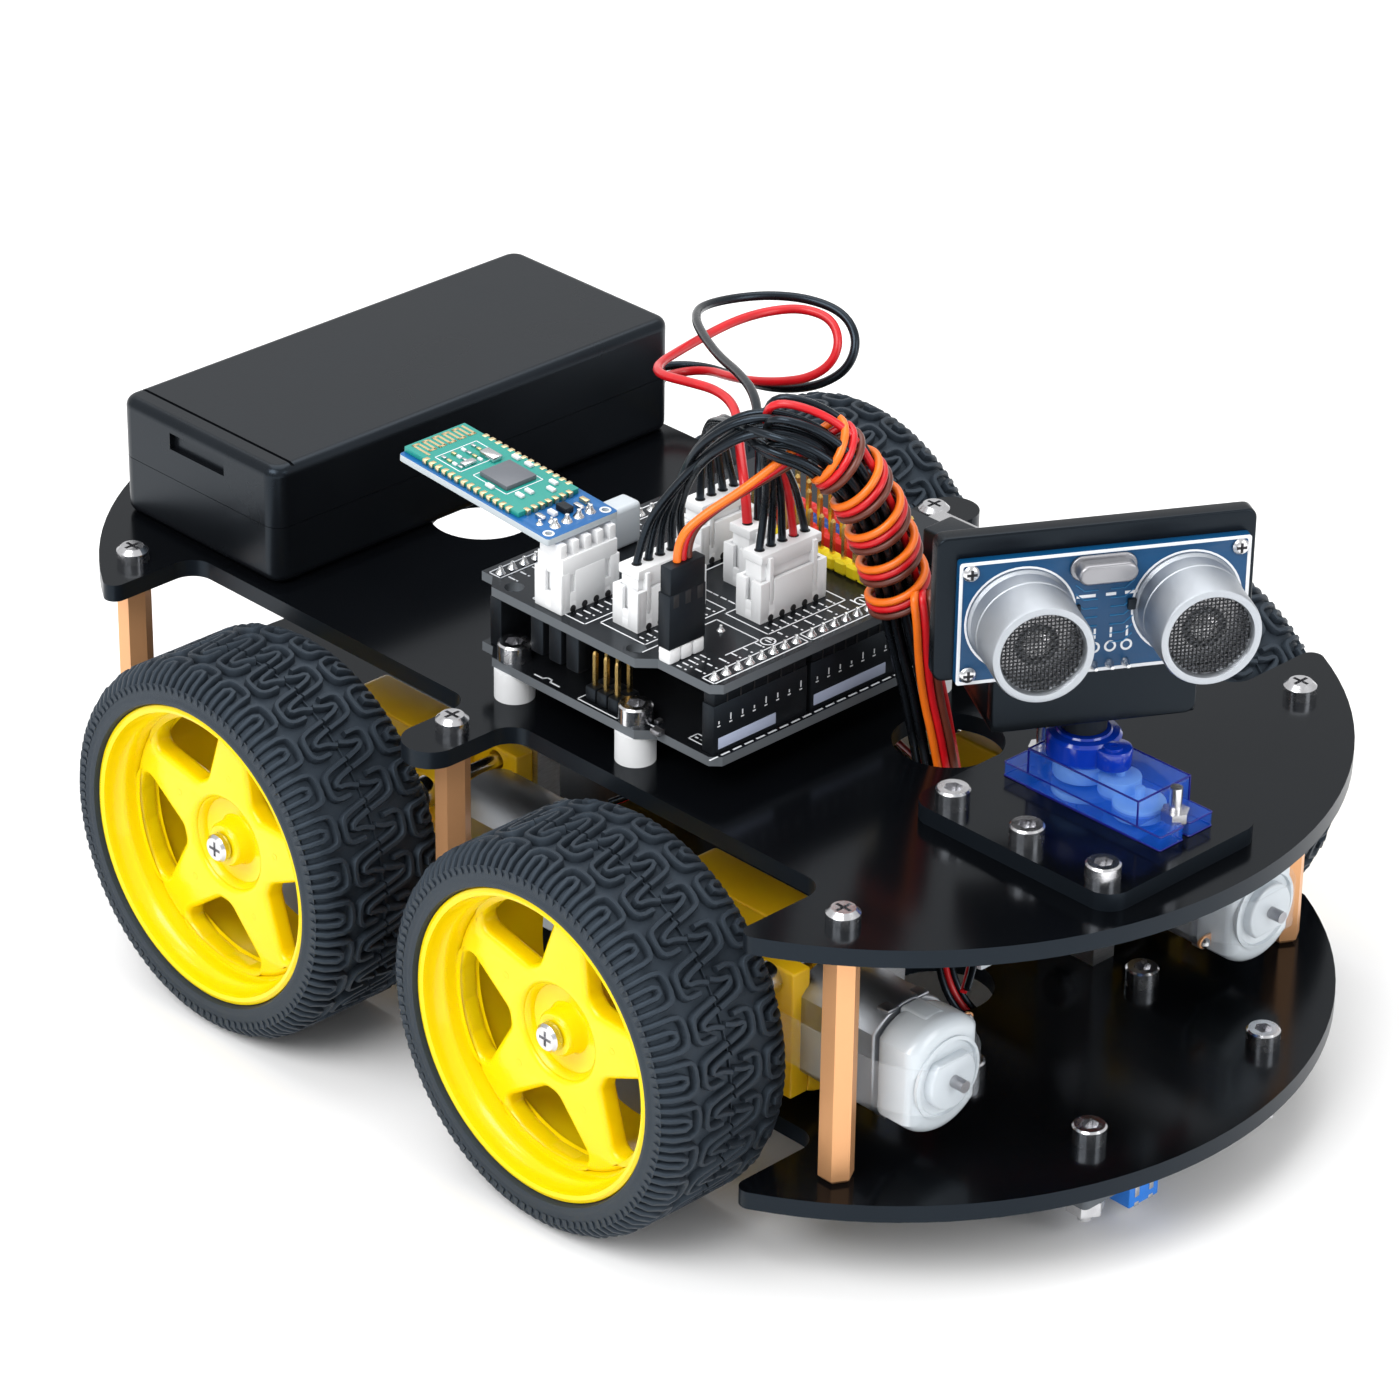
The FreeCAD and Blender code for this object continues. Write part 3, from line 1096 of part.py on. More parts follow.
def make_wires():
    edges = cord_edges("wire_harness", HARNESS_ROUTE)
    bundle = pipe("wire_harness", edges, dim("bundle_radius"))
    branches = []
    for number, route in enumerate(BRANCH_ROUTES):
        name = "harness_branch_%d" % number
        branches.append(pipe(name, cord_edges(name, route), dim("branch_radius")))
    for number, route in enumerate(MOTOR_LEADS):
        for sign in (1, -1):
            name = "motor_lead_%d_%d" % (number, sign + 1)
            mirrored = [(x, sign * y, z) for x, y, z in route]
            branches.append(pipe(name, cord_edges(name, mirrored), dim("pair_radius")))
    sensor_edges = cord_edges("line_sensor_lead", LINE_SENSOR_LEAD)
    branches.append(pipe("line_sensor_lead", sensor_edges, dim("branch_radius")))
    branches = [branch.cut(bundle) for branch in branches]
    shape_part("wire_harness", [bundle] + branches)
    coil_edges = edges[COIL_SPAN]
    coil = pipe("servo_coil", coil_edges, dim("coil_radius")).cut(bundle)
    thin = dim("servo_lead_radius")
    first = pipe("servo_lead_start", cord_edges("servo_lead_start", SERVO_LEAD_START), thin)
    last = pipe("servo_lead_end", cord_edges("servo_lead_end", SERVO_LEAD_END), thin)
    shape_part("servo_lead", [coil, first.cut(coil).cut(bundle), last.cut(coil)])
    for label, route in (("battery_lead_red", BATTERY_RED), ("battery_lead_black", BATTERY_BLACK)):
        shape_part(label, [pipe(label, cord_edges(label, route), dim("lead_radius"))])


# ---------------------------------------------------------------- build, check and write


def check_document():
    doc.recompute()
    for item in doc.Objects:
        if "Invalid" in item.State or "Error" in item.State:
            raise RuntimeError("%s failed: %s" % (item.Name, item.State))
    for item in subparts:
        if item.Shape.isNull() or not item.Shape.isValid() or not item.Shape.Solids:
            raise RuntimeError(item.Label + " has no valid solid")


def write_parts():
    os.makedirs("parts", exist_ok=True)
    for name in os.listdir("parts"):
        if name.endswith(".step"):
            os.remove(os.path.join("parts", name))
    for item in subparts:
        item.Shape.exportStep("parts/%s.step" % item.Label)
    print(len(subparts), "sub-parts written")


make_plates()
make_standoffs()
make_motors()
make_battery_box()
make_controller()
make_shield_parts()
make_radio()
make_servo_plate()
make_servo()
make_sensor()
make_line_sensor()
make_wires()
check_document()
write_parts()
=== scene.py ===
import math

import bmesh
import bpy
from mathutils import Matrix, Vector


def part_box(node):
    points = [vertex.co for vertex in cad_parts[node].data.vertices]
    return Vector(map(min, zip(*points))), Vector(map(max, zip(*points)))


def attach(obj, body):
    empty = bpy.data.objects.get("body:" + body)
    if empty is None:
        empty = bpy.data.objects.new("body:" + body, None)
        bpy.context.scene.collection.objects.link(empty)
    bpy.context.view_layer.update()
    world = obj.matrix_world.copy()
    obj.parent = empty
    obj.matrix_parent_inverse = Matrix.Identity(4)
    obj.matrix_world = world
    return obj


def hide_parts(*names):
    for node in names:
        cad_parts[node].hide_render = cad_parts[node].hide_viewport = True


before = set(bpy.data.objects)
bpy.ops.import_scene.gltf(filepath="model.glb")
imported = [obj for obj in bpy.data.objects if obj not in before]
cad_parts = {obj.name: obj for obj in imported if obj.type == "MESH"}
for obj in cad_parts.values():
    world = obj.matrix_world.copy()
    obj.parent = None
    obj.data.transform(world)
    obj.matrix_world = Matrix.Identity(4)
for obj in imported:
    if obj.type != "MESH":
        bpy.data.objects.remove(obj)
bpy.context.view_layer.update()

# The looks of the four wheel robot chassis. +X is forward, +Y the car's left, +Z up.
# Blender works in metres. Small shapes are drawn in millimetres and scaled when a piece is made.

MM = 0.001

# ---------------------------------------------------------------- materials


def new_material(name):
    """An empty material with its nodes, its links and its shader."""
    material = bpy.data.materials.new(name)
    material.use_nodes = True
    nodes = material.node_tree.nodes
    return material, nodes, material.node_tree.links, nodes["Principled BSDF"]


def grain(nodes, links, size, detail=4.0, stretch=(1, 1, 1)):
    """A noise in the object's own coordinates, whose blotches are about size metres across."""
    place = nodes.new("ShaderNodeTexCoord")
    mapping = nodes.new("ShaderNodeMapping")
    mapping.inputs["Scale"].default_value = stretch
    noise = nodes.new("ShaderNodeTexNoise")
    noise.inputs["Scale"].default_value = 1.0 / size
    noise.inputs["Detail"].default_value = detail
    links.new(place.outputs["Object"], mapping.inputs["Vector"])
    links.new(mapping.outputs["Vector"], noise.inputs["Vector"])
    return noise.outputs["Fac"]


def between(nodes, links, factor, low, high):
    """Maps a factor around its middle to a number from low to high."""
    span = nodes.new("ShaderNodeMapRange")
    span.inputs["From Min"].default_value = 0.3
    span.inputs["From Max"].default_value = 0.7
    span.inputs["To Min"].default_value = low
    span.inputs["To Max"].default_value = high
    links.new(factor, span.inputs["Value"])
    return span.outputs["Result"]


def mix_colours(nodes, links, factor, first, second):
    """Mixes two colours, each given as numbers or as another node's output."""
    mix = nodes.new("ShaderNodeMix")
    mix.data_type = "RGBA"
    for socket, colour in ((mix.inputs[6], first), (mix.inputs[7], second)):
        if isinstance(colour, tuple):
            socket.default_value = (*colour, 1.0)
        else:
            links.new(colour, socket)
    links.new(factor, mix.inputs[0])
    return mix.outputs[2]


def bump(nodes, links, shader, height, strength, distance=0.0002):
    """A fine relief on a shader's surface."""
    node = nodes.new("ShaderNodeBump")
    node.inputs["Strength"].default_value = strength
    node.inputs["Distance"].default_value = distance
    links.new(height, node.inputs["Height"])
    links.new(node.outputs["Normal"], shader.inputs["Normal"])


def surface(name, colour, other, rough, size=0.004, relief=0.02, fine=0.0004, stretch=(1, 1, 1), **constants):
    """A moulded, painted or turned surface: its colour and roughness wander, and it has a fine grain."""
    material, nodes, links, shader = new_material(name)
    wander = grain(nodes, links, size, stretch=stretch)
    factor = between(nodes, links, wander, 0.0, 1.0)
    links.new(mix_colours(nodes, links, factor, colour, other), shader.inputs["Base Color"])
    links.new(between(nodes, links, wander, rough[0], rough[1]), shader.inputs["Roughness"])
    bump(nodes, links, shader, grain(nodes, links, fine, 2.0, stretch), relief)
    for socket, value in constants.items():
        shader.inputs[socket.replace("_", " ")].default_value = value
    return material


def by_normal(name, face, edge, rough, edge_rough, specular=0.5):
    """A sheet cut from a slab: its two faces have one look and its cut edges another."""
    material, nodes, links, shader = new_material(name)
    place = nodes.new("ShaderNodeTexCoord")
    split = nodes.new("ShaderNodeSeparateXYZ")
    links.new(place.outputs["Normal"], split.inputs[0])
    size = nodes.new("ShaderNodeMath")
    size.operation = "ABSOLUTE"
    links.new(split.outputs["Z"], size.inputs[0])
    step = nodes.new("ShaderNodeMath")
    step.operation = "GREATER_THAN"
    step.inputs[1].default_value = 0.6
    links.new(size.outputs[0], step.inputs[0])
    wander = between(nodes, links, grain(nodes, links, 0.02), 0.0, 1.0)
    face_colour = mix_colours(nodes, links, wander, face, shades(face, 1.25))
    edge_colour = mix_colours(nodes, links, wander, edge, shades(edge, 0.8))
    chosen = mix_colours(nodes, links, step.outputs[0], edge_colour, face_colour)
    links.new(chosen, shader.inputs["Base Color"])
    choose = nodes.new("ShaderNodeMapRange")
    choose.inputs["To Min"].default_value = edge_rough
    choose.inputs["To Max"].default_value = rough
    links.new(step.outputs[0], choose.inputs["Value"])
    links.new(choose.outputs["Result"], shader.inputs["Roughness"])
    bump(nodes, links, shader, grain(nodes, links, 0.0006, 2.0, (1, 1, 0.15)), 0.01)
    shader.inputs["Specular IOR Level"].default_value = specular
    # The reflections are tinted blue: painted cool light.
    shader.inputs["Specular Tint"].default_value = COOL_REFLECTION_TINT
    return material


def shades(colour, amount):
    """A colour made lighter or darker."""
    return tuple(channel * amount for channel in colour)


def plastic(name, colour, rough=(0.28, 0.42), darker=0.82, **more):
    """A moulded or painted surface whose colour wanders to a darker or lighter one."""
    return surface(name, colour, shades(colour, darker), rough, **more)


def metal(name, colour, rough, size=0.002, **more):
    """A bare metal surface."""
    return surface(name, colour, shades(colour, 0.8), rough, size=size, Metallic=1.0, **more)


YELLOW = (0.88, 0.65, 0.001)
# A blue tint on the reflections of dark plastics and sheets: painted cool light.
COOL_REFLECTION_TINT = (0.62, 0.8, 1.0, 1.0)
rubber = surface("tyre_rubber", (0.0125, 0.0165, 0.022), (0.021, 0.027, 0.035), (0.42, 0.58), size=0.006,
                 relief=0.25, fine=0.0006, Specular_IOR_Level=0.42, Specular_Tint=COOL_REFLECTION_TINT)
rim_yellow = plastic("rim_yellow", YELLOW, (0.16, 0.24), 0.93, size=0.012, relief=0.03,
                     Coat_Weight=0.12, Coat_Roughness=0.06, Specular_IOR_Level=0.3,
                     Subsurface_Weight=0.12, Subsurface_Scale=0.003)
# The gearboxes' yellow is darker and more orange than the rims': painted shade for the orange the plastic
# shows inside the wheels.
gearbox_yellow = plastic("gearbox_yellow", (0.78, 0.46, 0.005), (0.3, 0.42), 0.9, size=0.01, relief=0.06,
                         Subsurface_Weight=0.08, Subsurface_Scale=0.002)
acrylic = by_normal("acrylic_black", (0.0016, 0.0019, 0.0025), (0.0075, 0.01, 0.0135), 0.16, 0.3, 0.2)
pcb_black = by_normal("pcb_black", (0.005, 0.0055, 0.0065), (0.12, 0.13, 0.14), 0.24, 0.5, 0.4)
radio_blue = by_normal("radio_blue", (0.006, 0.09, 0.27), (0.5, 0.55, 0.58), 0.3, 0.6)

steel = metal("bright_steel", (0.72, 0.72, 0.74), (0.14, 0.3), relief=0.05)
dark_steel = metal("dark_steel", (0.36, 0.36, 0.38), (0.3, 0.45), relief=0.08)
motor_steel = metal("motor_steel", (0.42, 0.44, 0.47), (0.3, 0.5), size=0.003, relief=0.12)
brass = surface("copper_brass", (0.8, 0.42, 0.2), (0.68, 0.34, 0.15), (0.3, 0.45), size=0.003,
                stretch=(6, 6, 0.5), relief=0.1, Metallic=0.6)
gold = metal("gold_pins", (0.9, 0.62, 0.22), (0.2, 0.3), size=0.001)
pale_gold = metal("pale_gold", (0.85, 0.68, 0.4), (0.25, 0.4))
aluminium = metal("milled_aluminium", (0.72, 0.73, 0.75), (0.3, 0.45), stretch=(1, 1, 8), relief=0.12)
can_alloy = metal("matt_alloy", (0.5, 0.53, 0.57), (0.34, 0.5), size=0.003, relief=0.25, fine=0.00025)
solder = metal("solder", (0.78, 0.79, 0.8), (0.12, 0.3), size=0.0006, relief=0.15)
mesh_black = metal("mesh_black", (0.05, 0.052, 0.056), (0.25, 0.4))
# The dark of a screw's cross recess: painted shade.
cross_recess_shade = metal("cross_recess_shade", (0.05, 0.05, 0.055), (0.4, 0.5))

box_black = plastic("box_black", (0.0035, 0.004, 0.005), (0.26, 0.34), 1.4, size=0.02, relief=0.05,
                    fine=0.0003, Specular_IOR_Level=0.3, Specular_Tint=COOL_REFLECTION_TINT)
holder_black = plastic("holder_black", (0.0025, 0.003, 0.0038), (0.2, 0.3), 1.4, size=0.01, relief=0.05,
                       Specular_IOR_Level=0.25, Specular_Tint=COOL_REFLECTION_TINT)
parts_black = plastic("header_black", (0.005, 0.0055, 0.0065), (0.32, 0.46), 1.4, relief=0.1,
                      Specular_IOR_Level=0.3, Specular_Tint=COOL_REFLECTION_TINT)
# Dark holes, slits and gaps in sockets, plugs and headers: painted shade.
hole_shade_black = plastic("hole_shade_black", (0.01, 0.01, 0.011), (0.5, 0.6), 1.3)
chip_grey = plastic("chip_grey", (0.12, 0.13, 0.15), (0.3, 0.42), 0.8)
label_grey = plastic("label_grey", (0.42, 0.47, 0.62), (0.35, 0.45), 0.9)
nylon_white = plastic("nylon_white", (0.8, 0.81, 0.82), (0.35, 0.5), 0.95, relief=0.05,
                      Specular_IOR_Level=0.35)
cap_white = plastic("cap_white", (0.56, 0.61, 0.65), (0.2, 0.3), 0.88, size=0.008, relief=0.04,
                    Coat_Weight=0.2)
ivory = plastic("shaft_ivory", (0.78, 0.76, 0.7), (0.3, 0.4), 0.9)
silk_white = plastic("silk_white", (0.75, 0.77, 0.8), (0.5, 0.6), 0.9, size=0.002)
film = plastic("clear_film", (0.85, 0.9, 0.95), (0.05, 0.1), 0.95, size=0.01, relief=0.01, Alpha=0.09,
               Specular_IOR_Level=0.7)
cell_green = plastic("cell_green", (0.03, 0.25, 0.16), size=0.01)
board_green = plastic("board_green", (0.012, 0.3, 0.25), (0.3, 0.42), 0.7, size=0.002, relief=0.06)
board_blue = plastic("board_blue", (0.0015, 0.062, 0.17), (0.25, 0.38), 0.7, size=0.003, relief=0.06,
                     Specular_IOR_Level=0.35)
trace_blue = plastic("trace_blue", (0.004, 0.13, 0.3), (0.25, 0.35), 0.8)
servo_blue = plastic("servo_blue", (0.002, 0.035, 0.42), (0.08, 0.16), 0.7, size=0.006, relief=0.02,
                     Coat_Weight=0.3)
servo_clear = plastic("servo_clear", (0.01, 0.14, 0.85), (0.05, 0.1), 0.7, size=0.006, relief=0.01,
                      Alpha=0.36, Specular_IOR_Level=0.6)
# Dark blue lines along the clear case's edges: painted shade.
servo_edge_shade = plastic("servo_edge_shade", (0.01, 0.01, 0.2), (0.1, 0.2), 0.7)
servo_white = plastic("servo_white", (0.3, 0.58, 0.98), (0.35, 0.45), 0.9)
trimmer_blue = plastic("trimmer_blue", (0.01, 0.2, 0.75), (0.25, 0.35), 0.85)
pins_yellow = plastic("pins_yellow", (0.85, 0.68, 0.01), (0.3, 0.4), 0.9,
                      Subsurface_Weight=0.1, Subsurface_Scale=0.001)
pins_red = plastic("pins_red", (0.75, 0.03, 0.03), (0.3, 0.4), 0.85)
pins_blue = plastic("pins_blue", (0.02, 0.1, 0.45), (0.3, 0.4), 0.85)


def cable(name, colour, darker, rough=(0.28, 0.38), **more):
    """The skin of a wire."""
    return plastic(name, colour, rough, darker, size=0.004, relief=0.05, **more)


wire_black = cable("wire_black", (0.0035, 0.004, 0.005), 1.4, (0.22, 0.32), Specular_IOR_Level=0.4,
                   Specular_Tint=COOL_REFLECTION_TINT)
wire_red = cable("wire_red", (0.62, 0.006, 0.012), 0.8)
wire_orange = cable("wire_orange", (0.9, 0.17, 0.008), 0.85)
wire_brown = cable("wire_brown", (0.1, 0.022, 0.012), 1.3)

# ---------------------------------------------------------------- mesh tools


class Shape:
    """Collects solids, drawn in millimetres, into one mesh. Colour is a number in the piece's looks."""

    def __init__(self):
        self.bm = bmesh.new()

    def add(self, part, place, colour):
        """Puts one solid in its place, with its number in the piece's list of looks."""
        for face in part.faces:
            face.material_index = colour
        part.transform(place)
        data = bpy.data.meshes.new("part")
        part.to_mesh(data)
        self.bm.from_mesh(data)
        bpy.data.meshes.remove(data)
        part.free()

    def block(self, low, high, edge=0.2, place=Matrix(), colour=0, steps=2):
        """A box between two corners with rounded edges."""
        part = bmesh.new()
        size = [b - a for a, b in zip(low, high)]
        middle = [(a + b) / 2 for a, b in zip(low, high)]
        bmesh.ops.create_cube(part, size=1, matrix=at(*middle) @ Matrix.Diagonal((*size, 1)))
        if edge:
            edge = min(edge, 0.45 * min(size))
            bmesh.ops.bevel(part, geom=part.edges[:], offset=edge, segments=steps, profile=0.5,
                            affect="EDGES")
        self.add(part, place, colour)

    def lathe(self, profile, place=Matrix(), colour=0, steps=48):
        """Turns (radius, height) points about Z. Ends off the axis meet or are sunk in another solid."""
        part = bmesh.new()
        rings = []
        for radius, height in profile:
            circle = ring_outline(radius, steps=steps) if radius else [(0, 0)]
            rings.append([part.verts.new((x, y, height)) for x, y in circle])
        for lower, upper in zip(rings, rings[1:]):
            for step in range(steps):
                after = (step + 1) % steps
                corners = [lower[step % len(lower)], lower[after % len(lower)],
                           upper[after % len(upper)], upper[step % len(upper)]]
                corners = [v for n, v in enumerate(corners) if v not in corners[:n]]
                part.faces.new(corners)
        bmesh.ops.recalc_face_normals(part, faces=part.faces[:])
        self.add(part, place, colour)

    def rod(self, radius, low, high, edge=0.15, place=Matrix(), colour=0, steps=32):
        """A round bar along Z with rounded ends."""
        edge = min(edge, radius * 0.45, (high - low) * 0.45)
        corner = edge * 0.3
        lower = [(0, low), (radius - edge, low), (radius - corner, low + corner), (radius, low + edge)]
        upper = [(radius, high - edge), (radius - corner, high - corner), (radius - edge, high), (0, high)]
        self.lathe(lower + upper, place, colour, steps)

    def prism(self, outlines, low, high, edge=0.2, place=Matrix(), colour=0, steps=2):
        """A plate between two heights from one outer outline and any holes, with rounded edges."""
        curve = bpy.data.curves.new("outline", "CURVE")
        curve.dimensions = "2D"
        curve.fill_mode = "BOTH"
        curve.extrude = (high - low) / 2 - edge
        curve.bevel_depth = edge
        curve.bevel_resolution = steps
        curve.offset = -edge
        for outline in outlines:
            spline = curve.splines.new("POLY")
            spline.points.add(len(outline) - 1)
            spline.use_cyclic_u = True
            for point, (x, y) in zip(spline.points, outline):
                point.co = (x, y, 0, 1)
        item = bpy.data.objects.new("outline", curve)
        bpy.context.scene.collection.objects.link(item)
        bpy.context.view_layer.update()
        data = bpy.data.meshes.new_from_object(item.evaluated_get(bpy.context.evaluated_depsgraph_get()))
        part = bmesh.new()
        part.from_mesh(data)
        bmesh.ops.remove_doubles(part, verts=part.verts[:], dist=1e-4)
        bpy.data.objects.remove(item)
        bpy.data.curves.remove(curve)
        bpy.data.meshes.remove(data)
        self.add(part, place @ at(0, 0, (low + high) / 2), colour)

    def ring(self, outer, inner, low, high, place=Matrix(), centre=(0, 0), sides=32):
        """A thin painted ring."""
        rings = [ring_outline(radius, centre, sides) for radius in (outer, inner)]
        self.prism(rings, low, high, 0.02, place, steps=1)

    def tube(self, points, radius, colour=0, sides=8):
        """A round wire through points, with flat ends."""
        part = bmesh.new()
        rings = []
        turns = ring_outline(1, steps=sides)
        for point, across, up in frames_along([Vector(p) for p in points]):
            rings.append([part.verts.new(point + radius * (across * x + up * y)) for x, y in turns])
        for lower, upper in zip(rings, rings[1:]):
            for n in range(sides):
                part.faces.new((lower[n], lower[(n + 1) % sides], upper[(n + 1) % sides], upper[n]))
        part.faces.new(rings[0][::-1])
        part.faces.new(rings[-1])
        self.add(part, Matrix(), colour)

    def data(self, name, materials, sharp=35.0):
        """The finished mesh, smooth but for edges sharper than the given degrees."""
        mesh = bpy.data.meshes.new(name)
        self.bm.to_mesh(mesh)
        self.bm.free()
        for material in materials:
            mesh.materials.append(material)
        mesh.shade_smooth()
        mesh.set_sharp_from_angle(angle=math.radians(sharp))
        return mesh


def frames_along(points):
    """Each point of a path with two directions square to it, carried along without twist."""
    across = None
    found = []
    for n, point in enumerate(points):
        ahead = (points[min(n + 1, len(points) - 1)] - points[max(n - 1, 0)]).normalized()
        if across is None:
            across = ahead.orthogonal().normalized()
        across = (across - ahead * across.dot(ahead)).normalized()
        found.append((point, across, ahead.cross(across)))
    return found


def rounded(points, radius, steps=5):
    """A closed outline with its corners rounded by arcs of the given radius."""
    result = []
    count = len(points)
    for n in range(count):
        corner = Vector(points[n])
        back = Vector(points[n - 1]) - corner
        ahead = Vector(points[(n + 1) % count]) - corner
        half = back.angle(ahead) / 2
        cut = min(radius / math.tan(half), 0.49 * back.length, 0.49 * ahead.length)
        arm = cut * math.tan(half)
        back.normalize()
        ahead.normalize()
        centre = corner + (back + ahead).normalized() * (arm / math.sin(half))
        start, end = corner + back * cut - centre, corner + ahead * cut - centre
        turn = start.angle_signed(end)
        for step in range(steps + 1):
            angle = -turn * step / steps
            spoke = Matrix.Rotation(angle, 2) @ start
            result.append(tuple(centre + spoke))
    return result


def at(x, y, z):
    """The place that lies this far from the origin."""
    return Matrix.Translation((x, y, z))


def turned(degrees, axis):
    """A turn about one of the axes."""
    return Matrix.Rotation(math.radians(degrees), 4, axis)


def ring_outline(radius, centre=(0, 0), steps=32):
    """The points of a circle."""
    angles = [2 * math.pi * n / steps for n in range(steps)]
    return [(centre[0] + radius * math.cos(a), centre[1] + radius * math.sin(a)) for a in angles]


def rect(x0, y0, x1, y1):
    """The corners of a rectangle."""
    return [(x0, y0), (x1, y0), (x1, y1), (x0, y1)]


def piece(name, mesh, body, replaced=(), place=Matrix()):
    """Makes an object of a mesh drawn in millimetres, on its CAD body."""
    item = bpy.data.objects.new(name, mesh)
    bpy.context.scene.collection.objects.link(item)
    item.matrix_world = Matrix.Scale(MM, 4) @ place
    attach(item, body)
    if replaced:
        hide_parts(*replaced)


def on_car(name, shape, looks, replaced=(), place=Matrix(), sharp=35.0):
    """A piece that stays on the chassis."""
    piece(name, shape.data(name, looks, sharp), "chassis", replaced, place)


def on_sensor(name, shape, looks, replaced=(), sharp=35.0):
    """A piece that turns with the ultrasonic sensor."""
    piece(name, shape.data(name, looks, sharp), "sensor_pan", replaced, pan_place())


def at_motors(label, shape, looks, replaced=()):
    """One mesh at each of the four motors."""
    mesh = shape.data(label, looks)
    for corner in CORNERS:
        piece(label + "_" + corner, mesh, "chassis", replaced, motor_place(corner))


def paint(node, material):
    """Gives a CAD node its look."""
    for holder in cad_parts[node].material_slots:
        holder.material = material


def corner_of(node):
    """A CAD node's lowest and highest corners in millimetres."""
    low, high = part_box(node)
    return low / MM, high / MM


# ---------------------------------------------------------------- looks of the CAD nodes

CAD_LOOKS = {
    "bottom_plate": acrylic, "top_plate": acrylic, "servo_plate": acrylic,
    "standoffs": brass, "standoff_screws": steel, "bracket_screws": steel, "board_screws": steel,
    "servo_screws": steel, "sensor_screws": steel, "line_sensor_screws": steel, "motor_brackets": aluminium,
    "battery_box": box_black, "battery_lid": box_black, "battery_cells": cell_green,
    "board_spacers": nylon_white, "servo_internals": servo_white, "servo_output": parts_black,
    "servo_horn": parts_black, "controller_board": pcb_black, "shield_board": pcb_black,
    "controller_parts": parts_black, "shield_sockets": nylon_white, "wire_plugs": nylon_white,
    "pin_headers": gold, "radio_board": radio_blue, "servo_case": servo_blue, "sensor_holder": holder_black,
    "sensor_board": board_blue, "sensor_cans": can_alloy, "sensor_parts": steel,
    "line_sensor_board": pcb_black,
    "gearbox_outer_shells": gearbox_yellow, "gearbox_inner_shells": gearbox_yellow,
    "motor_cans": motor_steel, "motor_end_caps": cap_white, "motor_straps": film,
}
CORNERS = {"fl": 1, "fr": -1, "rl": 1, "rr": -1}
for corner in CORNERS:
    CAD_LOOKS["wheel_shaft_" + corner] = ivory
    CAD_LOOKS["wheel_screw_" + corner] = steel
    CAD_LOOKS["motor_rotor_" + corner] = dark_steel
for node, look in CAD_LOOKS.items():
    paint(node, look)

# ---------------------------------------------------------------- wheels

WHEEL_WIDE = 26.0
TREAD_RADIUS = 32.5
TREAD_DEEP = 1.25
TREAD_UNITS = 28
HALF_WIDE = WHEEL_WIDE / 2


def carcass_radius(across):
    """The tyre's radius under the tread, by the distance from its middle."""
    flat = 9.2
    drop = max(0.0, abs(across) - flat) / (HALF_WIDE - flat)
    return TREAD_RADIUS - TREAD_DEEP - 2.6 * drop ** 2.2


def on_tread(along, across, lift):
    """A point over the tyre's carcass, by its way round the tyre and its distance from the middle."""
    radius = carcass_radius(across) + lift
    angle = along / TREAD_RADIUS
    return Vector((radius * math.cos(angle), radius * math.sin(angle), HALF_WIDE + across))


def softened(points, times=2):
    """An open line with its corners cut."""
    for _ in range(times):
        result = [points[0]]
        for a, b in zip(points, points[1:]):
            result.append(a.lerp(b, 0.25))
            result.append(a.lerp(b, 0.75))
        points = result + [points[-1]]
    return points


# The section of a tread rib: steps across it in half widths, and heights in tread depths.
RIB_SECTION = [(-1.15, -0.1), (-0.95, 0.8), (-0.62, 1.0), (0.62, 1.0), (0.95, 0.8), (1.15, -0.1)]
RIB_WIDE = 0.95


def ridge(part, line):
    """One raised rib of the tread along a line of (along, across) points."""
    points = softened([Vector(point) for point in line], 1)
    rows = []
    for n, point in enumerate(points):
        ahead = (points[min(n + 1, len(points) - 1)] - points[max(n - 1, 0)]).normalized()
        side = Vector((-ahead.y, ahead.x))
        row = []
        for share, lift in RIB_SECTION:
            spot = point + side * (share * RIB_WIDE / 2)
            row.append(part.verts.new(on_tread(spot.x, spot.y, lift * TREAD_DEEP)))
        rows.append(row)
    for lower, upper in zip(rows, rows[1:]):
        for n in range(len(lower) - 1):
            part.faces.new((lower[n], lower[n + 1], upper[n + 1], upper[n]))
    part.faces.new(rows[0][::-1])
    part.faces.new(rows[-1])


# The ribs of one tread unit, on one half of the tyre.
TREAD_LINES = [
    [(-2.7, HALF_WIDE), (-2.7, 8.2), (-1.7, 7.2), (1.7, 7.2), (2.7, 8.2), (2.7, HALF_WIDE)],
    [(-0.9, HALF_WIDE), (-0.9, 9.2), (0.9, 9.2), (0.9, HALF_WIDE)],
    [(-3.1, 2.2), (-3.2, 4.7), (-2.2, 5.7), (0.7, 5.5), (1.6, 4.5), (2.5, 0.2)],
    [(-2.2, 0.2), (-1.4, 2.0), (-1.3, 3.9), (-0.2, 3.7), (0.8, 0.2)],
]


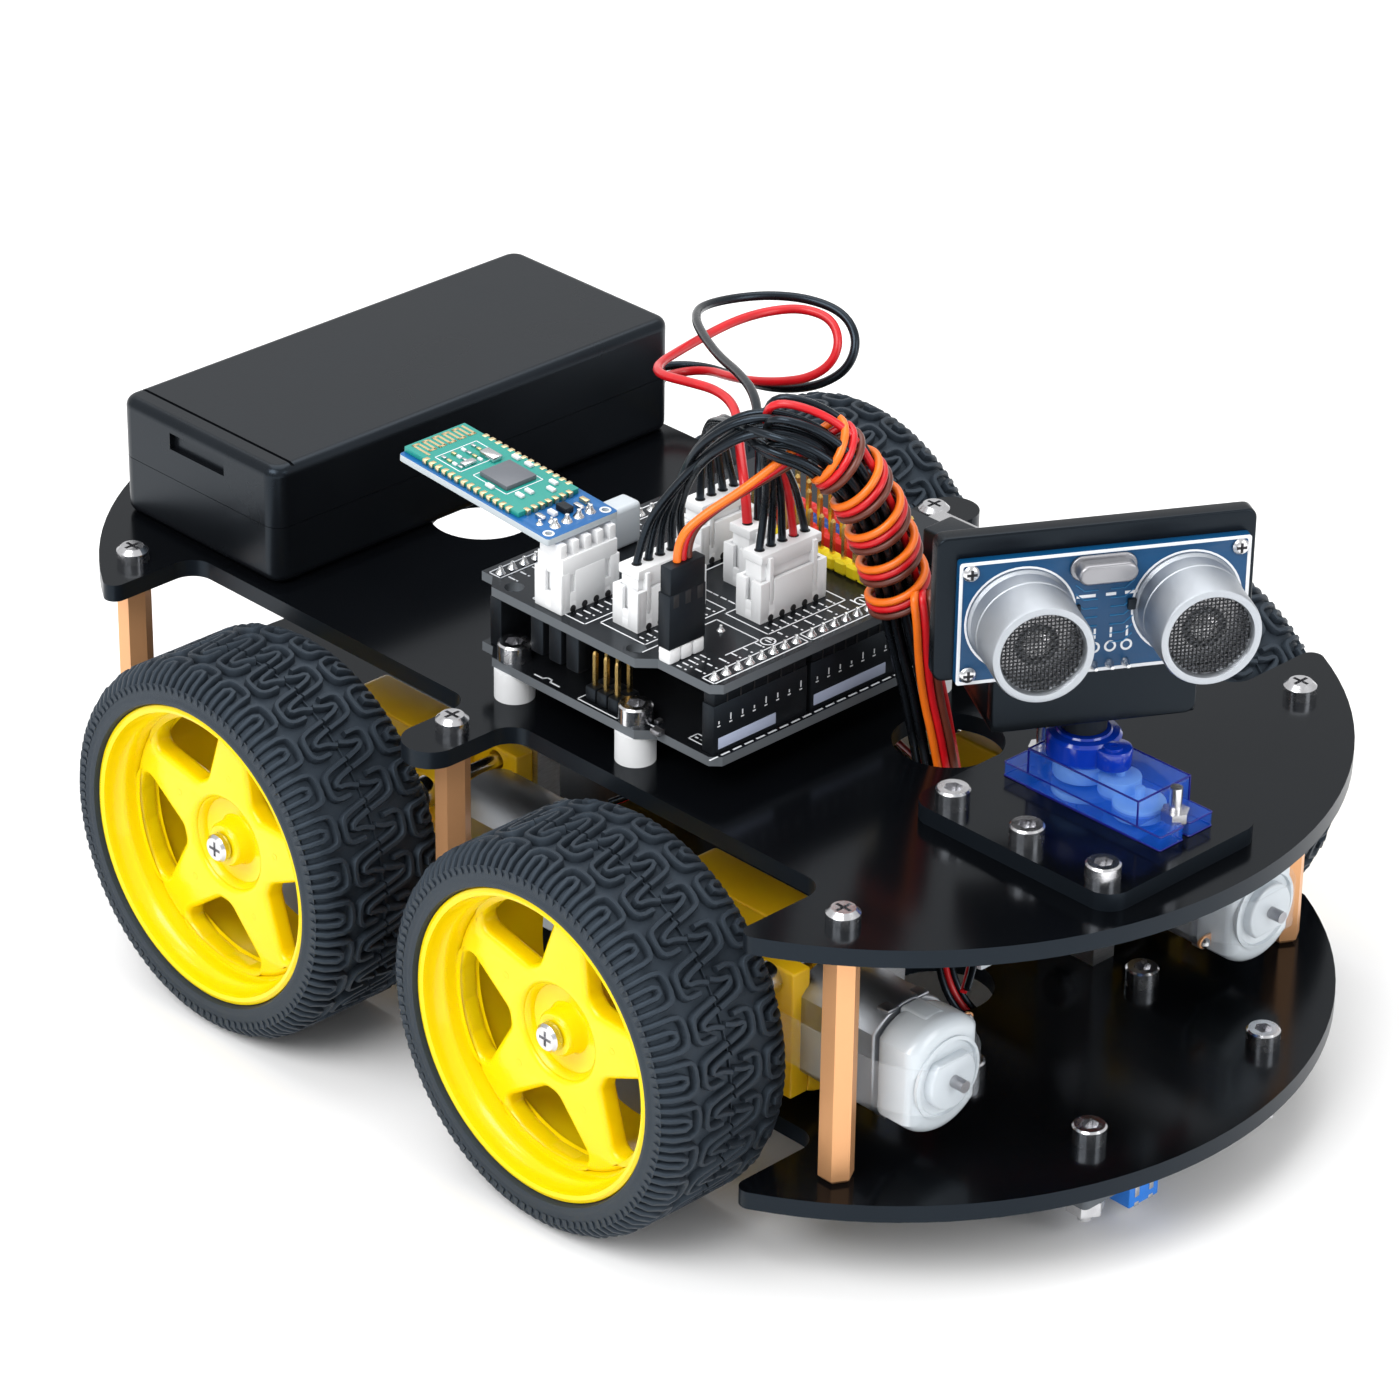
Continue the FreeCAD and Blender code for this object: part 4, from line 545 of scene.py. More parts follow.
def tyre_mesh():
    """The tyre: its carcass, its ribs and the fine mould line round its middle."""
    shape = Shape()
    sections = [-HALF_WIDE + step * 0.65 for step in range(1, 40)]
    crown = [(carcass_radius(across), HALF_WIDE + across) for across in sections]
    inner_side = [(26.0, 0.9), (26.3, 0.15), (27.1, 0.0), (27.7, 0.25), (28.3, 0.05), (29.0, 0.3),
                  (29.8, 0.1)]
    outer_side = [(radius, WHEEL_WIDE - height) for radius, height in reversed(inner_side)]
    profile = inner_side + crown + outer_side + [(26.0, 12.0), inner_side[0]]
    shape.lathe(profile, steps=120)
    pitch = 2 * math.pi * TREAD_RADIUS / TREAD_UNITS
    part = bmesh.new()
    for unit in range(TREAD_UNITS):
        for line in TREAD_LINES:
            ridge(part, [(unit * pitch + u, v) for u, v in line])
            ridge(part, [((unit + 0.45) * pitch - u, -v) for u, v in line])
    bmesh.ops.recalc_face_normals(part, faces=part.faces[:])
    shape.add(part, Matrix(), 0)
    shape.lathe([(31.2, 12.85), (31.75, 12.9), (31.75, 13.1), (31.2, 13.15)], steps=120)
    return shape.data("tyre", [rubber], 50.0)


SPOKES = 5
WINDOW_TURN = math.radians(47.0)


def rim_mesh():
    """The rim: its barrel, a disc with five windows, the dished hub and a small cup on each spoke."""
    shape = Shape()
    barrel = [(23.3, 1.0), (26.0, 0.9), (26.0, 24.6), (25.8, 25.1), (25.2, 25.35), (24.6, 25.1),
              (24.35, 24.3), (24.2, 22.8), (23.6, 22.2), (23.2, 21.4), (23.0, 18.6), (23.0, 15.6),
              (23.6, 14.6), (23.3, 1.0)]
    shape.lathe(barrel, steps=96)
    windows = []
    corners = [(11.3, 0.12), (11.3, -0.12), (21.9, -0.5), (22.3, -0.25), (22.4, 0.0), (22.3, 0.25),
               (21.9, 0.5)]
    for n in range(SPOKES):
        middle = WINDOW_TURN + 2 * math.pi * n / SPOKES
        points = [(r * math.cos(middle + a), r * math.sin(middle + a)) for r, a in corners]
        windows.append(rounded(points, 2.4, 6))
    disc = [ring_outline(23.2, steps=72)] + windows + [ring_outline(8.0, steps=48)]
    shape.prism(disc, 15.6, 19.6, 1.1, steps=4)
    dish = [(8.8, 17.0), (8.8, 18.6), (8.3, 19.0), (7.7, 18.6), (7.3, 17.4), (6.2, 16.9), (4.4, 17.0),
            (4.0, 17.6), (3.8, 19.6), (3.4, 20.1), (1.6, 20.2), (1.4, 19.8), (1.4, 17.0), (1.4, -4.0),
            (4.8, -4.0), (4.8, 14.8), (8.0, 15.2), (8.8, 17.0)]
    shape.lathe(dish, steps=64)
    for n in range(SPOKES):
        angle = WINDOW_TURN + 2 * math.pi * (n + 0.5) / SPOKES
        place = at(12.6 * math.cos(angle), 12.6 * math.sin(angle), 19.55)
        shape.lathe([(0.75, -0.2), (0.62, 0.08), (0.4, 0.06), (0.3, -0.12), (0, -0.16)], place, steps=20)
    return shape.data("rim", [rim_yellow], 40.0)


def wheel_place(corner):
    """Local Z runs outwards along the axle from the wheel's inner face, local X forwards."""
    low, high = corner_of("tyre_" + corner)
    side = CORNERS[corner]
    y = low.y if side > 0 else high.y
    turn = Matrix(((1, 0, 0), (0, 0, side), (0, -side, 0)))
    return at((low.x + high.x) / 2, y, (low.z + high.z) / 2) @ turn.to_4x4()


WHEEL_SPIN = {"fl": 20.0, "fr": 0.0, "rl": 55.0, "rr": 2.0}


def make_wheels():
    """Each wheel's meshes are turned to where that wheel happened to stop."""
    kinds = [("tyre_", tyre_mesh(), "_tread", "tyre_rubber"), ("rim_", rim_mesh(), "_spokes", "rim_yellow")]
    for corner, degrees in WHEEL_SPIN.items():
        for node, mesh, label, slot in kinds:
            copy = mesh.copy()
            copy.transform(turned(degrees, "Z"))
            piece(node + corner + label, copy, "wheel_" + corner, [node + corner], wheel_place(corner))


make_wheels()

# ---------------------------------------------------------------- gear motors

GEARBOX_HALF = 9.4
GEARBOX_TALL = 22.5
CAN_RADIUS = 10.0
CAN_HALF = 7.5
CHEEK_INNER = 5.6
FORWARD = Matrix(((0, 0, 1, 0), (1, 0, 0, 0), (0, 1, 0, 0), (0, 0, 0, 1)))


def motor_place(corner):
    """Local X runs forwards from the axle, local Y outwards to the wheel."""
    low, high = corner_of("motor_rotor_" + corner)
    tyre_low, tyre_high = corner_of("tyre_" + corner)
    middle = ((tyre_low.x + tyre_high.x) / 2, (low.y + high.y) / 2, (tyre_low.z + tyre_high.z) / 2)
    return at(*middle) @ turned(0 if CORNERS[corner] > 0 else 180, "X")


def flattened_round(radius, half, steps=14):
    """The outline of a round bar with two flat sides, in local Y and Z."""
    reach = math.acos(half / radius)
    arcs = [reach + (math.pi - 2 * reach) * n / steps for n in range(steps + 1)]
    upper = [(radius * math.cos(a), radius * math.sin(a)) for a in arcs]
    return upper + [(-y, -z) for y, z in upper]


def gearbox_half(sign):
    """One moulded half: a flat box with ribs, a strap lug, a tail nub and half of the round collar."""
    shape = Shape()
    low, high = (0.05, GEARBOX_HALF) if sign > 0 else (-GEARBOX_HALF, -0.05)
    half = GEARBOX_TALL / 2
    upright = Matrix.Diagonal((1, -1, 1, 1)) @ turned(90, "X")
    outline = rounded(rect(-11.4, -half, 15.2, half), 1.6)
    shape.prism([outline, ring_outline(2.75)], low, high, 0.45, upright)
    tail = rounded(rect(14.0, -half, 25.6, half), 0.4)
    bolts = [ring_outline(1.6, (20.6, z)) for z in (8.75, -8.75)]
    cheek_low, cheek_high = (CHEEK_INNER, high) if sign > 0 else (low, -CHEEK_INNER)
    shape.prism([tail] + bolts, cheek_low, cheek_high, 0.35, upright)
    collar = [(y * sign, z) for y, z in half_collar()]
    shape.prism([collar[::sign]], 14.0, 25.6, 0.4, FORWARD)
    side = GEARBOX_HALF * sign
    for x in (2.6, 8.4):
        shape.block((x, side - 0.2, -3.2), (x + 1.5, side + 1.9, 3.2), 0.5)
    shape.block((-1.0, side - 0.2, -1.6), (2.8, side + 1.2, 1.6), 0.5)
    nub = 0.05 if sign > 0 else -2.4
    shape.block((-16.2, nub, -3.0), (-11.0, nub + 2.35, 3.0), 0.8)
    return shape


def half_collar():
    """Half of the arch that wraps the motor: outer arc, then the can's own arc back."""
    outer, inner, count = 12.6, CAN_RADIUS + 0.05, 10
    start, end = math.asin(0.05 / outer), math.acos(CHEEK_INNER / outer)
    upper = [start + (math.pi / 2 - end - start) * n / count for n in range(count + 1)]
    lower = [0.005 + 0.56 * n / count for n in range(count, -1, -1)]
    arcs = [(outer, angle) for angle in upper] + [(inner, angle) for angle in lower]
    return [(radius * math.sin(angle), radius * math.cos(angle)) for radius, angle in arcs]


def make_gearboxes():
    """The two halves of each gearbox."""
    for sign, label in ((1, "outer"), (-1, "inner")):
        nodes = ["gearbox_%s_shells" % label]
        at_motors("gearbox_" + label, gearbox_half(sign), [gearbox_yellow], nodes)


def make_motor_cans():
    """The steel can, flat on two sides, with the bent tabs that hold its cap."""
    shape = Shape()
    shape.prism([flattened_round(CAN_RADIUS, CAN_HALF)], 23.6, 41.0, 0.5, FORWARD)
    for y in (-3.2, 3.2):
        for z in (9.35, -9.35):
            shape.block((38.6, y - 1.3, z - 0.35), (41.05, y + 1.3, z + 0.35), 0.25)
    at_motors("motor_can", shape, [motor_steel], ["motor_cans"])


def make_motor_caps():
    """The moulded cap over the brushes, with its bearing boss and the two soldered terminals."""
    cap = Shape()
    cap.prism([flattened_round(CAN_RADIUS - 0.15, CAN_HALF - 0.1)], 40.9, 49.4, 2.2, FORWARD, steps=5)
    arc = [math.radians(-50 + 280 * n / 24) for n in range(25)]
    dee = [(4.9 * math.cos(a), 4.9 * math.sin(a)) for a in arc]
    cap.prism([dee], 48.8, 50.95, 0.4, FORWARD, steps=3)
    cap.lathe([(6.9, 49.2), (6.9, 49.75), (6.3, 49.85), (6.0, 49.3)], FORWARD, steps=48)
    for z in (1, -1):
        cap.block((41.0, -2.3, z * 8.9 - 1.0), (47.0, 2.3, z * 8.9 + 1.0), 0.9, steps=4)
    at_motors("motor_cap", cap, [cap_white], ["motor_end_caps"])
    tabs, blobs = Shape(), Shape()
    for z in (1, -1):
        tabs.block((44.6, -9.3, z * 4.6 - 1.1), (45.1, -6.6, z * 4.6 + 1.1), 0.15)
        tabs.lathe([(0.9, -0.25), (0.9, 0.25), (0.55, 0.25), (0.55, -0.25), (0.9, -0.25)],
                   at(44.85, -9.3, z * 4.6) @ turned(90, "Y"), steps=20)
        blobs.lathe([(0, -0.9), (0.6, -0.75), (1.0, -0.2), (0.95, 0.35), (0.5, 0.8), (0, 0.9)],
                    at(45.0, -8.9, z * 4.6), steps=16)
    at_motors("motor_tabs", tabs, [brass])
    at_motors("motor_solder", blobs, [solder])


def make_straps():
    """A clear band from the hooks on the gearbox's sides round the end of the motor."""
    thick, reach, end, tall = 0.5, GEARBOX_HALF + 0.72, 51.8, 4.0
    bend = [(4.0, reach), (41.0, reach), (46.2, 9.0), (50.6, 6.4), (end, 4.4)]
    path = softened([Vector(point) for point in bend])
    outer = [tuple(p) for p in path]
    inner = [(p.x - thick * p.x / end, p.y - thick) for p in path]
    left = outer + [(x, -y) for x, y in reversed(outer)]
    right = [(x, -y) for x, y in inner] + [(x, y) for x, y in reversed(inner)]
    shape = Shape()
    shape.prism([left + right], -tall, tall, 0.12)
    for sign in (1, -1):
        low, high = sorted((sign * (reach - 0.45), sign * (reach + 0.05)))
        for x in (3.2, 9.0):
            shape.block((x, low, -tall), (x + 1.3, high, tall), 0.2)
    at_motors("motor_strap", shape, [film], ["motor_straps"])


make_gearboxes()
make_motor_cans()
make_motor_caps()
make_straps()

# ---------------------------------------------------------------- standoffs


def make_standoffs():
    """Six six-sided brass pillars between the two big plates."""
    low, high = corner_of("standoffs")
    shape = Shape()
    radius, edge = 5.0 / math.sqrt(3), 0.7
    profile = [(1.2, low.z), (radius - edge, low.z), (radius, low.z + edge), (radius, high.z - edge),
               (radius - edge, high.z), (1.2, high.z)]
    for x, y in ((82.0, 52.0), (-1.7, 54.8), (-81.4, 54.8)):
        for side in (1, -1):
            shape.lathe(profile, at(x, y * side, 0), steps=6)
    on_car("standoff_pillars", shape, [brass], ["standoffs"], sharp=20.0)


make_standoffs()

# ---------------------------------------------------------------- ultrasonic sensor

# How far the sensor is turned, and its board's middle, faces and size.
SENSOR_YAW = -30.3
SENSOR_Z = 100.3
SENSOR_LONG = 45.5
SENSOR_TALL = 20.5
BOARD_MIDDLE = -0.5
HOLDER_FRONT = 6.1
BOARD_FRONT = 7.7
CAN_PITCH = 26.0
BRACKET_BOTTOM = 80.0


def pan_place():
    """Local X faces the way the sensor looks, with the servo's axis at the local origin."""
    low, high = corner_of("servo_output")
    return at((low.x + high.x) / 2, 0, 0) @ turned(SENSOR_YAW, "Z")


def facing(y, z, x=BOARD_FRONT):
    """A place on the sensor board whose local Z points out of it, local X to the left and local Y up."""
    turn = Matrix(((0, 0, 1), (1, 0, 0), (0, 1, 0)))
    return at(x, y, z) @ turn.to_4x4()


def make_holder():
    """The moulded frame behind the sensor's board, on a bracket with a tray and two cheeks."""
    shape = Shape()
    bottom, top = SENSOR_Z - 10.2, SENSOR_Z + 13.7
    right, left = BOARD_MIDDLE - 25.8, BOARD_MIDDLE + 24.0
    front = rounded(rect(right, bottom, left, top), 1.6)
    shape.prism([front], HOLDER_FRONT - 3.0, HOLDER_FRONT, 0.35, facing(0, 0, 0), steps=3)
    slot = rounded(rect(BOARD_MIDDLE - 7.5, bottom - 0.4, BOARD_MIDDLE + 7.5, bottom + 2.6), 1.4)
    inner_slot = rounded(rect(BOARD_MIDDLE - 6.7, bottom + 0.4, BOARD_MIDDLE + 6.7, bottom + 1.8), 0.6)
    shape.prism([slot, inner_slot], HOLDER_FRONT - 0.2, HOLDER_FRONT + 0.35, 0.12, facing(0, 0, 0))
    bracket_right, bracket_wide, back = -16.7, 32.4, HOLDER_FRONT - 16.5
    bracket_left = bracket_right + bracket_wide
    panel = rounded(rect(bracket_right, BRACKET_BOTTOM, bracket_left, BRACKET_BOTTOM + 12.0), 1.8)
    shape.prism([panel], HOLDER_FRONT - 3.0, HOLDER_FRONT - 0.3, 0.3, facing(0, 0, 0), steps=3)
    tray_low = (back, bracket_right, BRACKET_BOTTOM)
    shape.block(tray_low, (back + 16.0, bracket_left, BRACKET_BOTTOM + 2.2), 0.5, steps=3)
    for y in (bracket_right, bracket_left - 2.0):
        shape.block((back, y, BRACKET_BOTTOM), (back + 14.0, y + 2.0, BRACKET_BOTTOM + 9.5), 0.7, steps=3)
    for y in (right + 4.0, left - 4.0):
        low = (HOLDER_FRONT - 4.4, y - 0.6, bottom + 2.0)
        shape.block(low, (HOLDER_FRONT - 2.8, y + 0.6, top - 2.0), 0.3)
    on_sensor("sensor_holder_shell", shape, [holder_black], ["sensor_holder"])


def sensor_edges():
    """The board's right, low, left and high edges."""
    right, low = BOARD_MIDDLE - SENSOR_LONG / 2, SENSOR_Z - SENSOR_TALL / 2
    return right, low, BOARD_MIDDLE + SENSOR_LONG / 2, SENSOR_Z + SENSOR_TALL / 2


def sensor_screw_places():
    """The four screws, across and up on the board."""
    return [(BOARD_MIDDLE + a * 21.0, SENSOR_Z + b * 8.5) for a in (1, -1) for b in (1, -1)]


def make_sensor_board():
    """The blue board with its four holes."""
    shape = Shape()
    holes = [ring_outline(0.75, place) for place in sensor_screw_places()]
    outline = rounded(rect(*sensor_edges()), 0.5)
    shape.prism([outline] + holes, HOLDER_FRONT, BOARD_FRONT, 0.08, facing(0, 0, 0))
    on_sensor("sensor_circuit_board", shape, [board_blue], ["sensor_board"])


def make_sensor_print():
    """White lines: a border, a ring round each can and each pin, and short marks in place of words."""
    shape = Shape()
    high, border = 0.06, 0.55
    right, low, left, top = sensor_edges()
    inner = rect(right + border, low + border, left - border, top - border)
    lines = [rounded(rect(*sensor_edges()), 0.5), rounded(inner, 0.4)]
    shape.prism(lines, BOARD_FRONT, BOARD_FRONT + high, 0.02, facing(0, 0, 0), steps=1)
    for sign in (1, -1):
        place = facing(BOARD_MIDDLE + sign * CAN_PITCH / 2, SENSOR_Z)
        shape.ring(8.75, 8.4, 0, high, place, sides=48)
    for n in range(4):
        place = facing(BOARD_MIDDLE - 4.2 + 2.54 * n + 0.4, SENSOR_Z - 6.2)
        shape.ring(0.95, 0.6, 0, high, place, sides=24)
        shape.block((-0.18, 1.5, 0), (0.18, 3.2, high), 0.02, place)
    for across, long in ((-4.4, 3.0), (0.2, 1.6), (3.2, 2.2)):
        y, z = BOARD_MIDDLE + across, SENSOR_Z + 2.4
        shape.block((BOARD_FRONT, y, z), (BOARD_FRONT + high, y + long, z + 0.5), 0.02)
    on_sensor("sensor_board_print", shape, [silk_white])


def make_sensor_traces():
    """The tracks that show through the board's lacquer between the cans."""
    shape = Shape()
    x = BOARD_FRONT + 0.01
    for n in range(7):
        z = SENSOR_Z - 5.5 + 1.5 * n
        for sign in (1, -1):
            bends = [(1.0, 0), (3.2, 0), (4.6, 1.2)]
            shape.tube([(x, BOARD_MIDDLE + sign * y, z + rise) for y, rise in bends], 0.13, sides=6)
    on_sensor("sensor_board_traces", shape, [trace_blue])


def woven_mesh(shape, place):
    """Two sets of fine wires that pass over and under each other, cut to a disc."""
    pitch, reach, wire, level, wave = 0.62, 6.35, 0.14, 10.95, 0.09
    count = int(reach / pitch)
    for n in range(-count, count + 1):
        offset = n * pitch
        half = math.sqrt(max(reach ** 2 - offset ** 2, 0.01))
        steps = max(2, int(2 * half / (pitch / 2)))
        for along in (0, 1):
            points = []
            for step in range(steps + 1):
                way = -half + 2 * half * step / steps
                height = level + wave * math.cos(math.pi * (way / pitch + n + along))
                spot = (offset, way) if along else (way, offset)
                points.append(place @ Vector((*spot, height)))
            shape.tube(points, wire, sides=5)


def make_ears():
    """Each can: a drawn cup with stepped rings, a domed cone inside and a woven mesh over it."""
    cans, domes, meshes = Shape(), Shape(), Shape()
    cup = [(5.9, 1.0), (8.3, 0.0), (8.35, 0.5), (8.0, 1.0), (8.0, 3.3), (8.12, 3.5), (8.12, 3.9), (8.0, 4.1),
           (8.0, 11.5), (7.8, 11.95), (7.4, 12.05), (6.75, 11.95), (6.55, 11.6), (6.5, 10.9), (6.3, 10.7),
           (6.3, 5.0), (5.9, 1.0)]
    dome = [(6.2, 8.2), (5.2, 8.2), (3.4, 8.4), (3.0, 9.0), (2.2, 9.7), (1.1, 10.1), (0, 10.2)]
    for sign in (1, -1):
        place = facing(BOARD_MIDDLE + sign * CAN_PITCH / 2, SENSOR_Z)
        cans.lathe(cup, place, steps=64)
        domes.lathe(dome, place, steps=40)
        woven_mesh(meshes, place)
    on_sensor("sensor_ear_cans", cans, [can_alloy], ["sensor_cans"], 30.0)
    on_sensor("sensor_ear_domes", domes, [steel])
    on_sensor("sensor_ear_mesh", meshes, [mesh_black])


def phillips(shape, place, radius, high):
    """A small pan-head screw; the cross in its crown is two dark bars, drawn in the second look: painted
    shade in its recess.
    """
    head = [(radius, 0), (radius, high * 0.45), (radius * 0.8, high * 0.85), (radius * 0.5, high)]
    shape.lathe(head + [(0, high * 1.02)], place, steps=24)
    arm, wide = radius * 0.62, radius * 0.17
    for x, y in ((arm, wide), (wide, arm)):
        shape.block((-x, -y, high * 0.7), (x, y, high * 1.06), 0.02, place, 1)


def make_sensor_parts():
    """The quartz can, the soldered pins, two chips and the screws."""
    crystal = Shape()
    place = facing(BOARD_MIDDLE - 0.5, SENSOR_Z + 7.6)
    crystal.prism([rounded(rect(-5.2, -2.0, 5.2, 2.0), 1.95, 8)], 0.0, 0.7, 0.2, place)
    crystal.prism([rounded(rect(-4.6, -1.6, 4.6, 1.6), 1.55, 8)], 0.5, 3.3, 0.5, place, steps=4)
    on_sensor("sensor_crystal", crystal, [dark_steel], ["sensor_parts"])
    pins = Shape()
    for n in range(4):
        place = facing(BOARD_MIDDLE - 3.8 + 2.54 * n, SENSOR_Z - 9.1)
        pins.lathe([(0.75, 0), (0.7, 0.3), (0.35, 0.8), (0.32, 1.8), (0, 1.9)], place, steps=16)
    on_sensor("sensor_pin_joints", pins, [solder], ["sensor_parts"])
    chips = Shape()
    for across, up in ((-5.2, 0.6), (5.0, 0.8)):
        y, z = BOARD_MIDDLE + across, SENSOR_Z + up
        chips.block((BOARD_FRONT, y - 1.4, z - 0.9), (BOARD_FRONT + 0.7, y + 1.4, z + 0.9), 0.15)
    on_sensor("sensor_chips", chips, [parts_black])
    screws = Shape()
    for y, z in sensor_screw_places():
        phillips(screws, facing(y, z), 1.3, 0.8)
    phillips(screws, at(0, 0, BRACKET_BOTTOM + 2.2), 2.2, 1.4)
    on_sensor("sensor_mount_screws", screws, [steel, cross_recess_shade], ["sensor_screws"])


make_holder()
make_sensor_board()
make_sensor_print()
make_sensor_traces()
make_ears()
make_sensor_parts()

# ---------------------------------------------------------------- servo

SERVO_HALF = 5.9
SERVO_BACK = 76.2
SERVO_FRONT = 98.7
SERVO_BOTTOM = 49.6
SERVO_TOP = 72.3
EARS_BOTTOM = 65.4
EARS_TOP = 68.0
TOWER_X = 82.05
TOWER_TOP = 76.3


def make_servo_case():
    """The clear case: two boxes, the slotted ears between them, and dark lines along their edges: painted
    shade where the clear plastic looks dark.
    """
    shape = Shape()
    half, back, front = SERVO_HALF, SERVO_BACK, SERVO_FRONT
    shape.block((back, -half, SERVO_BOTTOM), (front, half, EARS_BOTTOM), 0.5, steps=3)
    ears = rounded([(71.3, -half), (103.5, -half), (103.5, -0.7), (101.1, -0.7), (101.1, 0.7), (103.5, 0.7),
                    (103.5, half), (71.3, half), (71.3, 0.7), (73.7, 0.7), (73.7, -0.7), (71.3, -0.7)], 0.3)
    shape.prism([ears], EARS_BOTTOM + 0.1, EARS_TOP, 0.25, steps=3)
    shape.block((back, -half, EARS_TOP - 0.4), (front, half, SERVO_TOP), 0.35, steps=3)
    corners = rect(back, -half, front, half)
    # Dark tubes along every edge and round the ears: painted shade.
    for low, high in ((SERVO_BOTTOM, EARS_BOTTOM), (EARS_TOP, SERVO_TOP)):
        for (x0, y0), (x1, y1) in zip(corners, corners[1:] + corners[:1]):
            shape.tube([(x0, y0, high - 0.1), (x1, y1, high - 0.1)], 0.16, 1)
            shape.tube([(x0, y0, low), (x0, y0, high)], 0.16, 1)
    for level in (EARS_BOTTOM + 0.2, EARS_TOP - 0.1):
        shape.tube([(x, y, level) for x, y in ears + ears[:1]], 0.13, 1)
    on_car("servo_body_clear", shape, [servo_clear, servo_edge_shade], ["servo_case"])


def make_servo_tower():
    """The blue tower round the output, with the smaller round and the boss beside it."""
    shape = Shape()
    half, foot, top = SERVO_HALF, SERVO_TOP - 0.3, TOWER_TOP
    profile = [(2.4, foot), (half, foot), (half, top - 1.0), (half - 0.4, top - 0.5), (half - 0.9, top - 0.4),
               (4.4, top - 0.3), (4.2, top), (2.6, top), (2.4, top - 0.3), (2.4, foot)]
    shape.lathe(profile, at(TOWER_X, 0, 0))
    shape.rod(2.9, foot, SERVO_TOP + 3.1, 0.4, at(TOWER_X + 6.2, 0, 0))
    boss = [(1.5, 0), (1.5, 0.5), (0.7, 0.6), (0.6, 0.0)]
    shape.lathe(boss, at(TOWER_X + 6.6, -0.6, SERVO_TOP + 3.0))
    on_car("servo_tower_blue", shape, [servo_blue], ["servo_case"])


# What shows through the case: each round's radius, foot, top, edge, place from the output, and sides.
SERVO_ROUNDS = [(4.7, 51.0, 64.8, 0.5, 10.75, 0, 32), (5.0, 65.4, 66.6, 0.2, 0.4, 0, 40),
                (4.6, 68.2, 71.2, 0.3, 0, 0, 40), (3.4, 67.4, 70.6, 0.3, 7.2, 0.6, 32),
                (4.2, 66.2, 68.6, 0.3, 12.2, -0.4, 32), (0.8, 66.0, 71.4, 0.1, 7.2, 0.6, 16),
                (0.8, 66.0, 70.8, 0.1, 12.2, -0.4, 16)]


def make_servo_inside():
    """The small board at the bottom, the motor, the gears and their shafts."""
    shape = Shape()
    shape.block((SERVO_BACK + 1.4, -4.7, 51.2), (SERVO_BACK + 10.2, 4.7, 52.6), 0.2, colour=1)
    for radius, low, high, edge, x, y, sides in SERVO_ROUNDS:
        shape.rod(radius, low, high, edge, at(TOWER_X + x, y, 0), steps=sides)
    on_car("servo_gears_and_motor", shape, [servo_white, board_green], ["servo_internals"])


make_servo_case()
make_servo_tower()
make_servo_inside()

# ---------------------------------------------------------------- circuit boards and connectors

BOARD_X = -10.8
BOARD_Y = 25.9
BOARD_TOP = 69.3
SHIELD_TOP = 81.9
PITCH = 2.54
SILK_HIGH = 0.05
SILK_WIDE = 0.22
TICK_WIDE = 0.28


def on_board(along, across):
    """A place on the controller board, whose long side runs towards the car's right."""
    return (BOARD_X + across, BOARD_Y - along)


def stroke(shape, points, width=SILK_WIDE, level=SHIELD_TOP):
    """A painted or plated line along points on a level surface."""
    for a, b in zip(points, points[1:]):
        a, b = Vector((*a, level)), Vector((*b, level))
        long = (b - a).length
        turn = math.atan2(b.y - a.y, b.x - a.x)
        place = at(*a) @ Matrix.Rotation(turn, 4, "Z")
        shape.block((-width / 2, -width / 2, 0), (long + width / 2, width / 2, SILK_HIGH), 0, place)


def frame_line(shape, x0, y0, x1, y1, width=SILK_WIDE, level=SHIELD_TOP):
    """A painted rectangle."""
    stroke(shape, rect(x0, y0, x1, y1) + [(x0, y0)], width, level)


def ticks(shape, start, step, count, long, level=SHIELD_TOP):
    """A row of short marks, each a stroke and a dot, in place of printing."""
    for n in range(count):
        x, y = start[0] + step[0] * n, start[1] + step[1] * n
        mark = long * (0.6 + 0.4 * ((n * 7) % 3) / 2)
        stroke(shape, [(x, y), (x + mark, y)], TICK_WIDE, level)
        stroke(shape, [(x + long + 0.5, y), (x + long + 0.6, y)], TICK_WIDE, level)


# The shield's pin rows: where along and across the board each starts, its pins, and its marks' shift.
SHIELD_ROWS = [(20.07, 50.8, 10, -4.0), (46.27, 50.8, 8, -4.0), (28.7, 2.54, 8, 2.0), (51.6, 2.54, 6, 2.0)]
SHIELD_FRAMES = [(14.8, -38.4, 24.9, -20.9), (25.9, -22.0, 35.4, -4.9), (1.6, -40.6, 13.6, -28.4),
                 (5.2, -15.2, 13.2, -0.4)]
# Each row of marks: where it starts, its step, how many marks, and how long they are.
SHIELD_TICKS = [((22.6, -37.2), (0, 1.6), 10, 1.0), ((33.4, -20.6), (0, 1.7), 9, 1.0),
                ((10.2, -39.0), (0, 1.5), 7, 1.6), ((33.2, -39.4), (0, 1.25), 5, 1.2),
                ((15.0, -18.6), (1.7, 0), 6, 0.9), ((-4.6, -12.0), (0, 1.9), 12, 1.2)]


